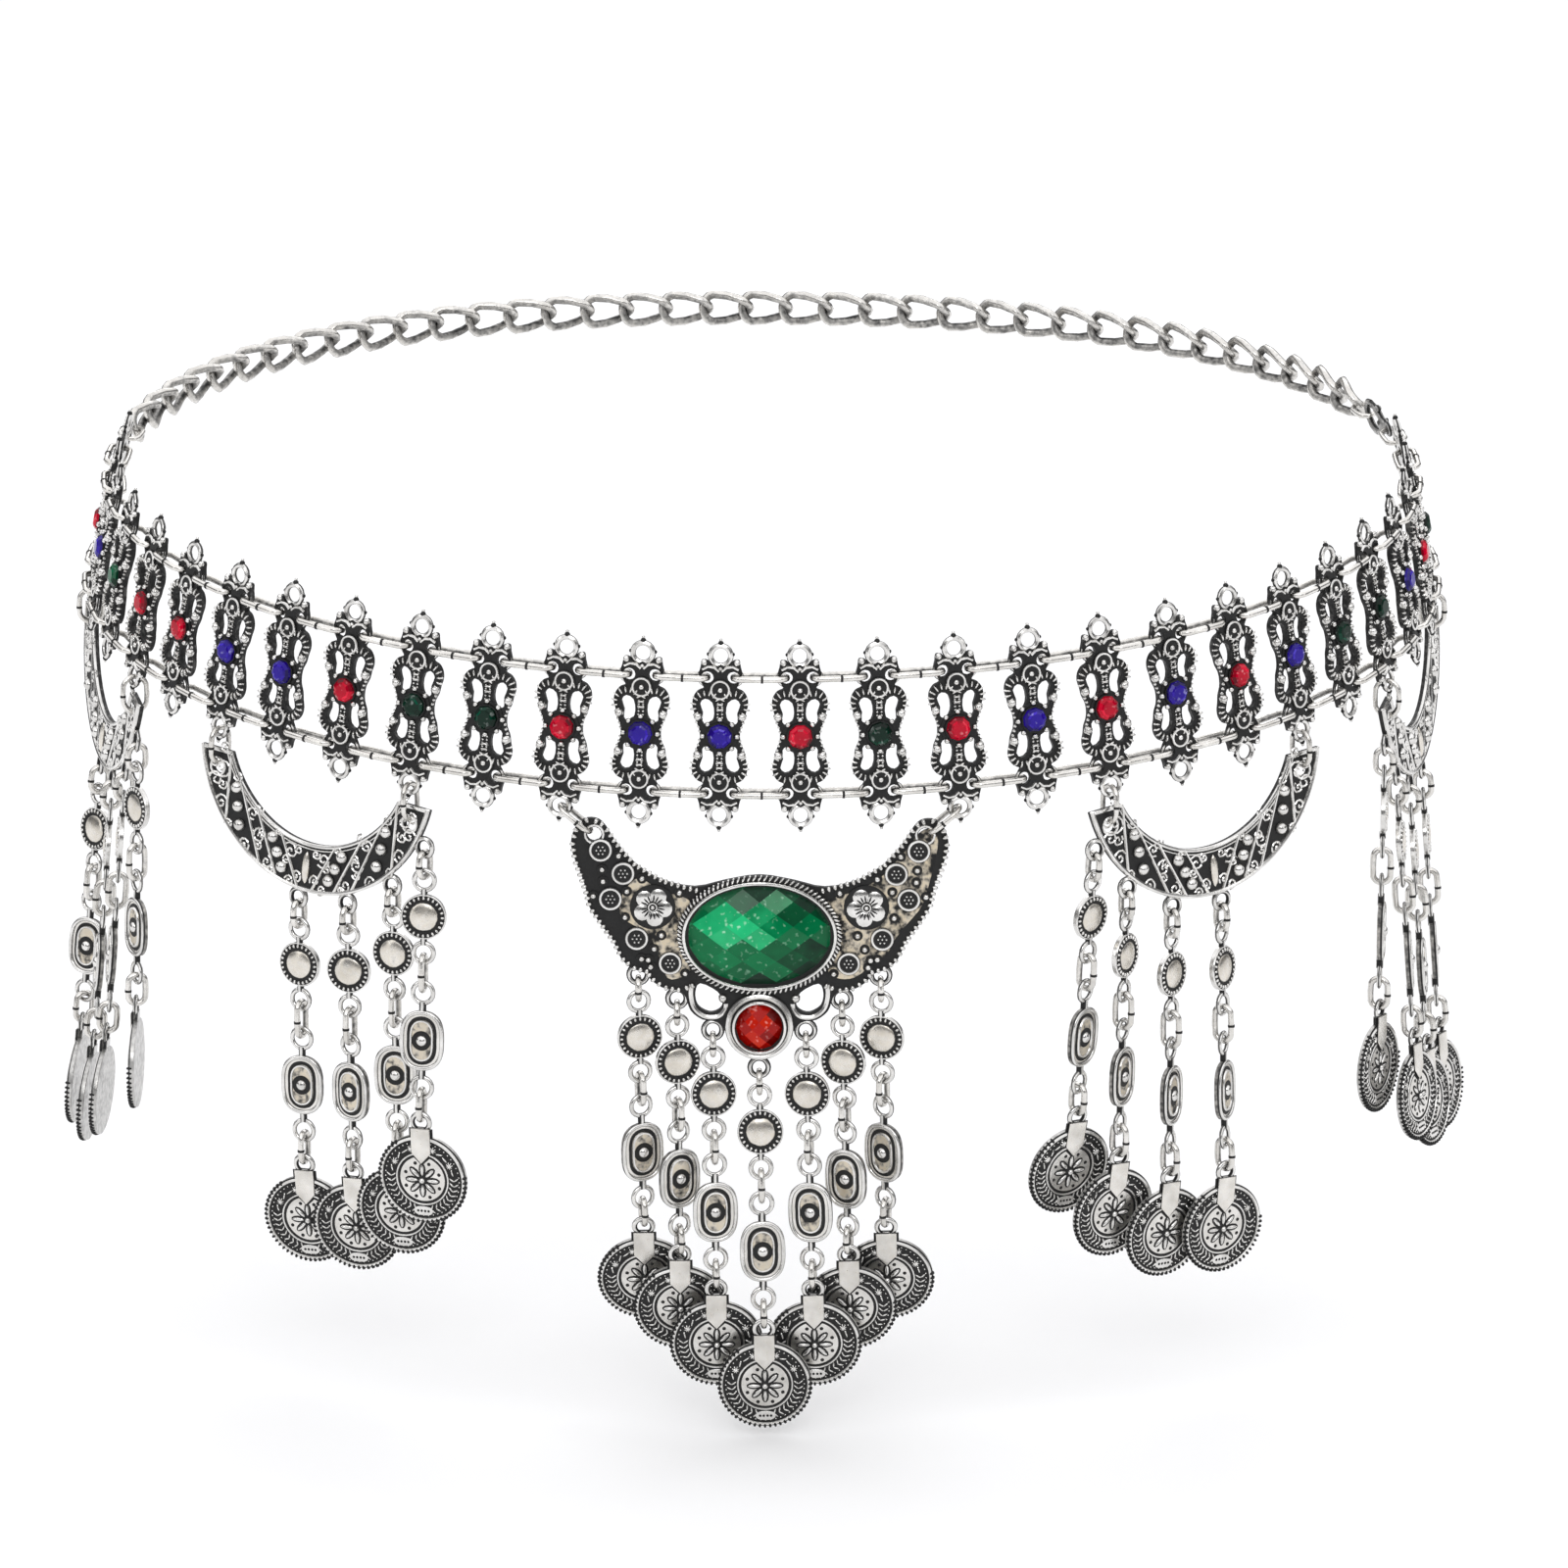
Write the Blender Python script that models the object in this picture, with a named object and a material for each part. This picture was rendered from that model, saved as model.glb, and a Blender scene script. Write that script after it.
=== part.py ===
"""A coin belt for the hips: openwork bars on oval rings, five hung pendants with coin strands, and a
curb chain with a lobster clasp that closes the ring at the back.

Metres, +Z up, +X to the wearer's left, -Y the front. The origin is the centre of the waist opening.
Every piece is drawn flat, X to the right, Y up and Z out of its face, and then set in place.
"""

import math

import bmesh
import bpy
from mathutils import Matrix, Vector

MM = 0.001
DOWN = Vector((0, 0, -1))

# The closed ring: an ellipse through the stones, lower in front, on hips that widen downwards.
RING_HALF_WIDTH = 144 * MM
RING_HALF_DEPTH = 118 * MM
RING_TILT = math.radians(11.4)
HIP_FLARE = math.radians(12)

# The bars.
BAR_COUNT = 28
BAR_PITCH = 16.3 * MM
BAR_THICKNESS = 1.6 * MM
BAR_QUARTER = ((0, 20.6), (4.8, 12.8), (3.6, 9.4), (5.7, 6.2), (4.4, 0))
BAR_OPENING = ((1.0, 8.4), (4.5, 6.6), (2.6, 3.2))
SHOULDER = (2.7, 12.1)
SHOULDER_HOLE = 1.45 * MM
END_RING_Y = 16.6 * MM
STONE_RADIUS = 2.6 * MM
STONE_HEIGHT = 1.9 * MM

# Wire: the section is a triangle of this radius, close to the wire's own.
WIRE = 0.68 * MM
BAR_RING_HALF_DEPTH = 2.2 * MM
HANG_RING_HALF_DEPTH = 2.7 * MM
RING_REACH = 2.7 * MM

# The curb chain and its clasp.
CHAIN_PITCH = 9.4 * MM
CHAIN_WIRE = 0.85 * MM
LINK_TWIST = math.radians(32)
CHAIN_BACK_DROP = 7.0 * MM
END_RING_RUN = 7.0 * MM
CLASP_RING_RUN = 8.0 * MM
CLASP_LENGTH = 13.0 * MM
CLASP_THICKNESS = 1.6 * MM

# Pendants: bars that carry each, side of its strands, and how far its foot leans out from plumb.
PENDANTS = {
    "far_left": {"bars": (2, 5), "casting": "crescent", "side": 1, "lean": 5.0},
    "left": {"bars": (7, 10), "casting": "crescent", "side": 1, "lean": 1.0},
    "centre": {"bars": (12, 17), "casting": "centre", "side": 1, "lean": 0.0},
    "right": {"bars": (19, 22), "casting": "crescent", "side": -1, "lean": 1.0},
    "far_right": {"bars": (24, 27), "casting": "crescent", "side": -1, "lean": 5.0},
}
CRESCENT_HOLE_X = 25.3 * MM
CRESCENT_DROP = 8.6 * MM
CRESCENT_THICKNESS = 1.3 * MM
CRESCENT_OUTER = {"radius": 30.5, "rise": 9.5}
CRESCENT_INNER = {"radius": 23.8, "rise": 13.3}
CRESCENT_HORN_TOP = 4.0
CRESCENT_LOOPS = (-3, 20, 43, 65)
CRESCENT_PLAIN = (18, 36, 54)
EYE_STEPS = ((-4.6, 0), (-2.8, 4.2), (2.8, 4.2), (4.6, 0))
LOOP_OUT = 1.9
CENTRE_HOLE_X = 34.0 * MM
CENTRE_DROP = 6.0 * MM
CENTRE_THICKNESS = 1.4 * MM
HORN_HOLE = 1.6 * MM
LOOP_HOLE = 1.3 * MM

# The centre casting's right half, from the top edge round the lobes to the scroll.
CENTRE_EDGE = (
    (0, -9.2), (7, -10.4), (13.4, -11.6), (20.3, -9.6), (25.6, -6.2), (29.6, -1.6), (32.2, 3.1), (36.8, 2.7),
    (38.8, -2.2), (37.1, -7.6), (35.5, -11.4), (35.4, -15.1), (32.9, -18.9), (30.2, -22.2), (28.8, -26.2),
)
CENTRE_LOOPS = ((25.0, -29.8), (17.0, -34.9), (9.6, -41.6), (0, -49.6))
SCROLL_OPENING = ((13.6, -30.0), (13.9, -34.4), (11.6, -37.0), (8.8, -36.4), (8.6, -33.6))
GREEN_GEM = {
    "half_width": 15.1 * MM, "half_height": 10.6 * MM, "height": 3.6 * MM, "y": -21.6 * MM,
    "wall": 1.5 * MM, "sides": 14,
}
RED_GEM = {
    "half_width": 5.0 * MM, "half_height": 5.0 * MM, "height": 2.6 * MM, "y": -40.6 * MM,
    "wall": 2.1 * MM, "sides": 8,
}
BEZEL_HEIGHT = 2.0 * MM

# A strand, measured down from the casting's loop: disc, oval link and coin, joined by jump rings.
STRAND = {"disc": -13.6, "link": -38.9, "bail": -55.4, "drop": 12.6}
RING_IN_EYE = -0.6
STRAND_THICKNESS = 1.3 * MM
DISC_QUARTER = ((0, 9.8), (4.7, 2.4))
LINK_QUARTER = ((0, 12.2), (4.6, 4.2))
EYE_DEPTH = 2.1
COIN_RADIUS = 9.7 * MM
COIN_TAB = (2.1, 14.6)
COIN_THICKNESS = 1.2 * MM
JUMP_RING_DEPTH = 1.9 * MM
CRESCENT_SLACK = 1.0

# How each strand hangs. Azimuths of disc, link and coin: 0 faces the front, plus is the wearer's left.
# Lean is how far the strand's foot stands out, swing how far it goes sideways, and tilt how far the
# coin's foot stands in, all in degrees.
STRAND_COLUMNS = ("disc", "link", "coin", "lean", "swing", "tilt")
STRANDS = {
    "far_left": (
        (-45, -30, -97, 5, 0, 0), (-85, -80, -97, 5, 0, 0), (-85, -80, -97, 5, 0, 0), (-55, -60, -92, 1, 0, 0),
    ),
    "left": (
        (-28, -20, -18, -1, 0, 8), (-16, -36, -18, -1, 0, 8), (-24, -15, -18, -1, 0, 8), (-8, -12, -18, 2, 0, 8),
    ),
    "centre": (
        (16, 26, 0, -4.2, 1.0, 12), (16, 30, 0, -1.4, 0.6, 12), (7, 10, 0, 1.4, 0.8, 12), (2, 4, 0, 4.2, 1.2, 12),
        (-9, -14, 0, 1.4, 1.8, 12), (-16, -28, 0, -1.4, 1.8, 12), (-16, -38, 0, -4.2, 1.6, 12),
    ),
    "right": (
        (58, 66, 31, 2.9, 0, 8), (53, 64, 31, 0.7, 0, 8), (58, 60, 31, -1.5, 0, 8), (46, 53, 31, -5, 0, 8),
    ),
    "far_right": (
        (84, 86, 61, 5, 0, 0), (84, 80, 61, 5, 0, 0), (80, 84, 61, 5, 0, 0), (86, 82, 61, 0, 0, 0),
    ),
}


def clear_scene():
    for thing in list(bpy.data.objects):
        bpy.data.objects.remove(thing, do_unlink=True)


def material(name, colour, metallic, roughness):
    made = bpy.data.materials.new(name)
    made.use_nodes = True
    shader = made.node_tree.nodes["Principled BSDF"]
    shader.inputs["Base Color"].default_value = (*colour, 1)
    shader.inputs["Metallic"].default_value = metallic
    shader.inputs["Roughness"].default_value = roughness
    return made


def mirrored(quarter):
    """A whole outline from one quarter whose first and last points may lie on the axes."""
    right = list(quarter) + [(x, -y) for x, y in reversed(quarter) if y != 0]
    left = [(-x, y) for x, y in reversed(right) if x != 0]
    return right + left


def in_metres(points):
    return [(x * MM, y * MM) for x, y in points]


def arc(centre, radius, start, end, steps):
    """Points on a circle, angles in degrees measured from straight down, plus towards +X."""
    found = []
    for i in range(steps + 1):
        angle = math.radians(start + (end - start) * i / steps)
        found.append((centre[0] + radius * math.sin(angle), centre[1] - radius * math.cos(angle)))
    return found


def mesh_object(name, mesh, frame=None):
    made = bpy.data.objects.new(name, mesh)
    bpy.context.scene.collection.objects.link(made)
    made.matrix_world = frame or Matrix.Identity(4)
    return made


def flat_plate(name, outline, holes, thickness, frame=None):
    """A sheet-metal piece: a filled 2-D curve with its holes, extruded both ways from its middle plane."""
    curve = bpy.data.curves.new(name, "CURVE")
    curve.dimensions = "2D"
    curve.fill_mode = "BOTH"
    curve.extrude = thickness / 2
    for loop in [outline, *holes]:
        spline = curve.splines.new("POLY")
        spline.points.add(len(loop) - 1)
        spline.use_cyclic_u = True
        for point, (x, y) in zip(spline.points, loop):
            point.co = (x, y, 0, 1)
    holder = mesh_object(name + "_curve", curve)
    mesh = bpy.data.meshes.new_from_object(holder.evaluated_get(bpy.context.evaluated_depsgraph_get()))
    bpy.data.objects.remove(holder, do_unlink=True)
    bpy.data.curves.remove(curve)
    weld(mesh)
    mesh.name = name
    return mesh_object(name, mesh, frame)


def weld(mesh):
    work = bmesh.new()
    work.from_mesh(mesh)
    bmesh.ops.remove_doubles(work, verts=work.verts, dist=1e-6)
    bmesh.ops.recalc_face_normals(work, faces=work.faces)
    work.to_mesh(mesh)
    work.free()


def wire_loop(name, path, across, wire, frame=None):
    """A closed ring of three-sided wire along the path; across is the ring's own axis."""
    work = bmesh.new()
    rows = []
    count = len(path)
    centre = sum(path, Vector()) / count
    for i, point in enumerate(path):
        arriving = (point - path[i - 1]).normalized()
        leaving = (path[(i + 1) % count] - point).normalized()
        along = (arriving + leaving).normalized()
        out = along.cross(across) / along.dot(arriving)
        if out.dot(point - centre) < 0:
            out = -out
        offsets = (out * -0.5 + across * 0.87, out * -0.5 - across * 0.87, out)
        rows.append([work.verts.new(point + offset * wire) for offset in offsets])
    for i in range(count):
        here, following = rows[i], rows[(i + 1) % count]
        for side in range(3):
            work.faces.new((here[side], here[side - 1], following[side - 1], following[side]))
    bmesh.ops.recalc_face_normals(work, faces=work.faces)
    mesh = bpy.data.meshes.new(name)
    work.to_mesh(mesh)
    work.free()
    return mesh_object(name, mesh, frame)


def joined(name, pieces, finish):
    """One solid from pieces that overlap: a Boolean union, kept as a plain mesh."""
    base, *others = pieces
    group = bpy.data.collections.new(name + "_parts")
    bpy.context.scene.collection.children.link(group)
    for other in others:
        bpy.context.scene.collection.objects.unlink(other)
        group.objects.link(other)
    if others:
        union = base.modifiers.new("union", "BOOLEAN")
        union.operation = "UNION"
        union.operand_type = "COLLECTION"
        union.collection = group
        union.solver = "EXACT"
    bpy.context.view_layer.update()
    frame = base.matrix_world.copy()
    mesh = bpy.data.meshes.new_from_object(base.evaluated_get(bpy.context.evaluated_depsgraph_get()))
    for piece in pieces:
        bpy.data.objects.remove(piece, do_unlink=True)
    bpy.data.collections.remove(group)
    weld(mesh)
    mesh.materials.clear()
    mesh.materials.append(finish)
    return mesh_object(name, mesh, frame)


# The ring's plane.
PLANE_X = Vector((1, 0, 0))
PLANE_BACK = Vector((0, math.cos(RING_TILT), math.sin(RING_TILT)))
PLANE_UP = PLANE_X.cross(PLANE_BACK)


def ring_angles(step=MM / 4):
    """Ellipse angles at equal steps along the ring, from the front all the way round."""
    angle, found = 0.0, [0.0]
    while angle < 2 * math.pi:
        slope = math.hypot(RING_HALF_WIDTH * math.cos(angle), RING_HALF_DEPTH * math.sin(angle))
        angle += step / slope
        found.append(angle)
    return found, step


RING_ANGLES, RING_STEP = ring_angles()
RING_LENGTH = (len(RING_ANGLES) - 1) * RING_STEP


def ring_frame(distance, flare=HIP_FLARE):
    """Where the ring is, this far along it from the front: X along it, Y up the hip, Z outwards."""
    angle = RING_ANGLES[int(round((distance % RING_LENGTH) / RING_STEP)) % len(RING_ANGLES)]
    place = PLANE_X * RING_HALF_WIDTH * math.sin(angle) - PLANE_BACK * RING_HALF_DEPTH * math.cos(angle)
    along = PLANE_X * RING_HALF_WIDTH * math.cos(angle) + PLANE_BACK * RING_HALF_DEPTH * math.sin(angle)
    along.normalize()
    outward = along.cross(PLANE_UP)
    up = PLANE_UP * math.cos(flare) - outward * math.sin(flare)
    return frame_of(place, along, up)


def frame_of(place, along, up):
    """A matrix with X along, Y as near up as it can be, and Z out of the face."""
    x = along.normalized()
    z = x.cross(up).normalized()
    y = z.cross(x)
    return Matrix(((x.x, y.x, z.x, place.x), (x.y, y.y, z.y, place.y), (x.z, y.z, z.z, place.z), (0, 0, 0, 1)))


def bar_frame(number):
    return ring_frame((number - (BAR_COUNT + 1) / 2) * BAR_PITCH)


def oval_path(start, end, side, half_width):
    """Six points of an oval ring whose ends cross at start and end; side is its short direction."""
    near = side * half_width * 0.7
    wide = side * half_width
    middle = (start + end) / 2
    return [start + near, middle + wide, end + near, end - near, middle - wide, start - near]


def short_ring(name, start, end, side, half_width, wire):
    """A jump ring drawn with four sides; its ends cross at start and end."""
    path = [start + side * half_width, end + side * half_width, end - side * half_width, start - side * half_width]
    return wire_loop(name, path, (end - start).cross(side).normalized(), wire)


def link_ring(name, start, end, normal, half_depth=BAR_RING_HALF_DEPTH):
    """An oval ring that stands square to the face of what its ends pass through."""
    run = (end - start).normalized()
    outward = (normal - run * normal.dot(run)).normalized()
    return wire_loop(name, oval_path(start, end, outward, half_depth), run.cross(outward), WIRE)


def bar_ring(name, number, sign):
    """The oval ring from this bar's shoulder to the next bar's."""
    here, following = bar_frame(number), bar_frame(number + 1)
    start = here @ Vector((RING_REACH, sign * SHOULDER[1] * MM, 0))
    end = following @ Vector((-RING_REACH, sign * SHOULDER[1] * MM, 0))
    return link_ring(name, start, end, here.col[2].xyz + following.col[2].xyz)


def hang_ring(name, number, casting):
    """The ring that joins a bar's lower end to the horn of the pendant below it."""
    start, end = hang_points(casting, number)
    normal = bar_frame(number).col[2].xyz + pendant_frame(casting).col[2].xyz
    return link_ring(name, start, end, normal, HANG_RING_HALF_DEPTH)


def end_of_bar(number):
    return bar_frame(number) @ Vector((0, -END_RING_Y, 0))


def pendant_frame(name):
    """The pendant's hinge line: the middle between its horn holes, X along them, Y up, Z outwards."""
    row = PENDANTS[name]
    left, right = (end_of_bar(number) for number in row["bars"])
    drop = CENTRE_DROP if row["casting"] == "centre" else CRESCENT_DROP
    along = (right - left).normalized()
    outward = along.cross(-DOWN).normalized()
    lean = math.radians(row["lean"])
    up = -DOWN * math.cos(lean) - outward * math.sin(lean)
    return frame_of((left + right) / 2 + DOWN * drop, along, up)


def hole_reach(name):
    return CENTRE_HOLE_X if PENDANTS[name]["casting"] == "centre" else CRESCENT_HOLE_X


def hang_points(name, number):
    """Where the ring's two ends cross: in the bar's lower end, and in the horn's hole."""
    side = -1 if number == PENDANTS[name]["bars"][0] else 1
    hole = pendant_frame(name) @ Vector((side * hole_reach(name), 0, 0))
    start = end_of_bar(number)
    return start, hole + (start - hole).normalized() * (HORN_HOLE - WIRE - 0.2 * MM)


def square_hole(x, y, half):
    """A small hole drawn with four corners; x and y in millimetres."""
    return arc((x * MM, y * MM), half * math.sqrt(2), 45, 315, 3)


def shoulder_hole(side, sign):
    """The hole in a bar's shoulder: three corners, set like the section of the wire that goes through."""
    centre = (side * SHOULDER[0] * MM, sign * SHOULDER[1] * MM)
    return arc(centre, SHOULDER_HOLE, -side * 90, -side * 330, 2)


def bar_piece(number, silver):
    """One openwork bar with its stone, and the rings that its right side and lower end hold."""
    name = f"bar_{number:02d}"
    frame = bar_frame(number)
    holes = [shoulder_hole(-1, 1)]
    if number > 1:
        holes.append(shoulder_hole(-1, -1))
    if number == BAR_COUNT:
        holes.append(shoulder_hole(1, 1))
    for across in (1, -1):
        for along in (1, -1):
            holes.append(in_metres([(across * x, along * y) for x, y in BAR_OPENING]))
    plate = flat_plate(name, in_metres(mirrored(BAR_QUARTER)), holes, BAR_THICKNESS, frame)
    stone = arc((0, 0), STONE_RADIUS, 30, 330, 5)
    lift = frame @ Matrix.Translation((0, 0, STONE_HEIGHT / 2))
    pieces = [plate, flat_plate(name + "_stone", stone, [], STONE_HEIGHT + BAR_THICKNESS / 2, lift)]
    if number < BAR_COUNT:
        pieces += [bar_ring(f"{name}_ring_{sign}", number, sign) for sign in (1, -1)]
    for casting, row in PENDANTS.items():
        if number in row["bars"]:
            pieces.append(hang_ring(name + "_hang", number, casting))
    return joined(name, pieces, silver)


def crescent_angle(height):
    """Where the half-moon's outer edge reaches this height, in degrees from straight down."""
    return math.degrees(math.acos((CRESCENT_OUTER["rise"] - height) / CRESCENT_OUTER["radius"]))


def crescent_outline(side):
    """The half-moon with its eyes: round the outside from the left horn, and back along the inside."""
    rise, radius = CRESCENT_OUTER["rise"], CRESCENT_OUTER["radius"]
    horn = crescent_angle(CRESCENT_HORN_TOP - 2.2)
    stops = [(-horn, 0), (horn, 0)]
    for degrees in CRESCENT_LOOPS:
        for turn, out in EYE_STEPS:
            stops.append((side * degrees + turn, out))
    clear = [-side * degrees for degrees in CRESCENT_PLAIN]
    stops += [(degrees, 0) for degrees in clear]
    outer = []
    for degrees, out in sorted(stops):
        angle = math.radians(degrees)
        outer.append(((radius + out) * math.sin(angle), rise - (radius + out) * math.cos(angle)))
    inner_rise, inner_radius = CRESCENT_INNER["rise"], CRESCENT_INNER["radius"]
    inner_top = math.degrees(math.acos((inner_rise - CRESCENT_HORN_TOP) / inner_radius))
    return outer + arc((0, inner_rise), inner_radius, inner_top, -inner_top, 6)


def crescent_loop_centres(side):
    rise, radius = CRESCENT_OUTER["rise"], CRESCENT_OUTER["radius"] + LOOP_OUT
    found = []
    for degrees in CRESCENT_LOOPS:
        angle = math.radians(degrees)
        found.append((side * radius * math.sin(angle), rise - radius * math.cos(angle)))
    return found


def crescent_piece(pendant, silver):
    side = PENDANTS[pendant]["side"]
    holes = [square_hole(turn * CRESCENT_HOLE_X / MM, 0, HORN_HOLE) for turn in (1, -1)]
    holes += [square_hole(x, y, LOOP_HOLE) for x, y in crescent_loop_centres(side)]
    outline = in_metres(crescent_outline(side))
    plate = flat_plate(f"{pendant}_crescent", outline, holes, CRESCENT_THICKNESS, pendant_frame(pendant))
    return joined(f"{pendant}_crescent", [plate], silver)


def ellipse(centre_y, half_width, half_height, sides):
    found = []
    for i in range(sides):
        angle = 2 * math.pi * (i + 0.5) / sides
        found.append((half_width * math.sin(angle), centre_y - half_height * math.cos(angle)))
    return found


def centre_eye(x, y):
    """The four corners of a round eye at the foot of the centre casting, from right to left."""
    return [(x + 2.4, y + 0.8), (x + 1.6, y - 2.3), (x - 1.6, y - 2.3), (x - 2.4, y + 0.8)]


def centre_outline():
    """The winged casting: its right edge down to the eye at the foot, and the same mirrored."""
    outer, middle, inner, foot = CENTRE_LOOPS
    right = list(CENTRE_EDGE) + centre_eye(*outer) + [(20.6, -31.8)] + centre_eye(*middle) + [(13.6, -38.4)]
    right += centre_eye(*inner) + [(5.0, -45.8)] + centre_eye(*foot)[:2]
    left = [(-x, y) for x, y in reversed(right) if x != 0]
    return in_metres(right + left)


def centre_piece(silver):
    """The centre casting with its bezels, scroll openings, horn holes and seven eyes."""
    frame = pendant_frame("centre")
    name = "centre_casting"
    holes = [square_hole(x, y, LOOP_HOLE) for x, y in centre_loop_centres()]
    for side in (1, -1):
        holes.append(square_hole(side * CENTRE_HOLE_X / MM, 0, HORN_HOLE))
        holes.append(in_metres([(side * x, y) for x, y in SCROLL_OPENING]))
    pieces = [flat_plate(name, centre_outline(), holes, CENTRE_THICKNESS, frame)]
    for gem, label in ((GREEN_GEM, "green"), (RED_GEM, "red")):
        sides = gem["sides"]
        wall = ellipse(gem["y"], gem["half_width"] + gem["wall"], gem["half_height"] + gem["wall"], sides)
        inside = ellipse(gem["y"], gem["half_width"] + 0.35 * MM, gem["half_height"] + 0.35 * MM, sides)
        height = BEZEL_HEIGHT + CENTRE_THICKNESS * 0.4
        lift = frame @ Matrix.Translation((0, 0, CENTRE_THICKNESS * 0.1 + height / 2))
        pieces.append(flat_plate(f"{name}_{label}", wall, [inside], height, lift))
    return joined(name, pieces, silver)


def centre_loop_centres():
    left = [(-x, y) for x, y in CENTRE_LOOPS]
    return left + [point for point in reversed(CENTRE_LOOPS) if point[0] > 0]


def gem_piece(name, gem, finish):
    """A faceted stone in its bezel: a flat back, an upright girdle, a crown and a table."""
    frame = pendant_frame("centre")
    work = bmesh.new()
    base = CENTRE_THICKNESS / 2 + 0.35 * MM
    rings = []
    for share, height in ((1.0, base), (1.0, base + BEZEL_HEIGHT * 0.7), (0.5, base + gem["height"])):
        points = ellipse(0, gem["half_width"] * share, gem["half_height"] * share, gem["sides"])
        rings.append([work.verts.new((x, gem["y"] + y, height)) for x, y in points])
    for lower, upper in zip(rings, rings[1:]):
        for i in range(len(lower)):
            work.faces.new((lower[i - 1], lower[i], upper[i], upper[i - 1]))
    work.faces.new(rings[0])
    work.faces.new(rings[-1])
    bmesh.ops.recalc_face_normals(work, faces=work.faces)
    mesh = bpy.data.meshes.new(name)
    work.to_mesh(mesh)
    work.free()
    mesh.materials.append(finish)
    return mesh_object(name, mesh, frame)


def facing(azimuth, up):
    """The horizontal line along a face that looks towards this azimuth, square to up."""
    angle = math.radians(azimuth)
    along = Vector((math.cos(angle), math.sin(angle), 0))
    return (along - up * along.dot(up)).normalized()


def strand_piece(pendant, index, eye_centre, silver):
    """One strand: ring, disc, ring, oval link, ring, and the coin with its strap."""
    row = dict(zip(STRAND_COLUMNS, STRANDS[pendant][index]))
    frame = pendant_frame(pendant)
    top = frame @ Vector((eye_centre[0] * MM, eye_centre[1] * MM, 0))
    outward = Vector((frame.col[2].x, frame.col[2].y, 0)).normalized()
    sideways = outward.cross(DOWN)
    foot = DOWN + outward * math.tan(math.radians(row["lean"])) + sideways * math.tan(math.radians(row["swing"]))
    up = -foot.normalized()
    slack = 0 if pendant == "centre" else CRESCENT_SLACK
    disc_y, link_y, bail_y = (STRAND[key] - slack * i for i, key in enumerate(("disc", "link", "bail"), 1))
    name = f"{pendant}_strand_{index + 1}"
    plate_azimuth = math.degrees(math.atan2(frame.col[0].y, frame.col[0].x))

    def place(y, azimuth):
        return frame_of(top + up * y * MM, facing(azimuth, up), up)

    def ring(label, upper, lower, azimuth):
        side = facing(azimuth, up).cross(up).normalized()
        return short_ring(f"{name}_{label}", top + up * upper * MM, top + up * lower * MM, side, JUMP_RING_DEPTH, WIRE)

    disc_eye, link_eye = DISC_QUARTER[0][1] - EYE_DEPTH, LINK_QUARTER[0][1] - EYE_DEPTH
    coin_at = place(bail_y, row["coin"]) @ Matrix.Rotation(math.radians(row["tilt"]), 4, "X")
    coin = arc((0, -STRAND["drop"] * MM), COIN_RADIUS, 22.5, 157.5, 3)
    coin += in_metres([(COIN_TAB[0], COIN_TAB[1] - STRAND["drop"])])
    coin += [(-x, y) for x, y in reversed(coin)]
    pieces = [
        flat_plate(f"{name}_coin", coin, [], COIN_THICKNESS, coin_at),
        flat_plate(f"{name}_disc", in_metres(mirrored(DISC_QUARTER)), [], STRAND_THICKNESS, place(disc_y, row["disc"])),
        flat_plate(f"{name}_link", in_metres(mirrored(LINK_QUARTER)), [], STRAND_THICKNESS, place(link_y, row["link"])),
        ring("ring_1", RING_IN_EYE, disc_y + disc_eye, plate_azimuth),
        ring("ring_2", disc_y - disc_eye, link_y + link_eye, (row["disc"] + row["link"]) / 2),
        ring("ring_3", link_y - link_eye, bail_y, (row["link"] + row["coin"]) / 2),
    ]
    return joined(name, pieces, silver)


def chain_ends():
    """The chain's first link hangs in bar 1's left shoulder; its last is held by the clasp."""
    half_row = (BAR_COUNT - 1) / 2 * BAR_PITCH
    left = -half_row - RING_REACH
    right = half_row + RING_REACH
    return left, right


def back_point(distance):
    """A point on the line that the chain follows: shoulder height at its ends, lower at the back."""
    left, right = chain_ends()
    share = (distance - right) / (RING_LENGTH + left - right)
    height = SHOULDER[1] * MM - CHAIN_BACK_DROP * math.sin(math.pi * share) ** 2
    frame = ring_frame(distance)
    return frame @ Vector((0, height, 0)), frame


def chain_piece(silver):
    """The curb chain, each link turned a little the other way, with a ring at each end."""
    left, right = chain_ends()
    clasp_end = right + CLASP_RING_RUN + CLASP_LENGTH - 3 * MM
    first = clasp_end + END_RING_RUN
    last = RING_LENGTH + left - END_RING_RUN
    count = round((last - first) / CHAIN_PITCH)
    pitch = (last - first) / count
    corners = mirrored(((2.7, pitch / MM / 2 + 0.2),))
    links = []
    for i in range(count):
        distance = first + pitch * (i + 0.5)
        place, frame = back_point(distance)
        along = (back_point(distance + MM)[0] - back_point(distance - MM)[0]).normalized()
        turned = LINK_TWIST if i % 2 else -LINK_TWIST
        up = frame.col[1].xyz * math.cos(turned) + frame.col[2].xyz * math.sin(turned)
        set_at = frame_of(place, along, up)
        path = [set_at @ Vector((y * MM, x * MM, 0)) for x, y in corners]
        links.append(wire_loop(f"link_{i}", path, set_at.col[2].xyz, CHAIN_WIRE))
    for label, hold, reach in (("clasp", clasp_end, first), ("bar", RING_LENGTH + left, last)):
        end, frame = back_point(reach)
        start = back_point(hold)[0]
        links.append(link_ring(f"end_ring_{label}", start, end, frame.col[2].xyz))
    return joined("curb_chain", links, silver)


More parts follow.
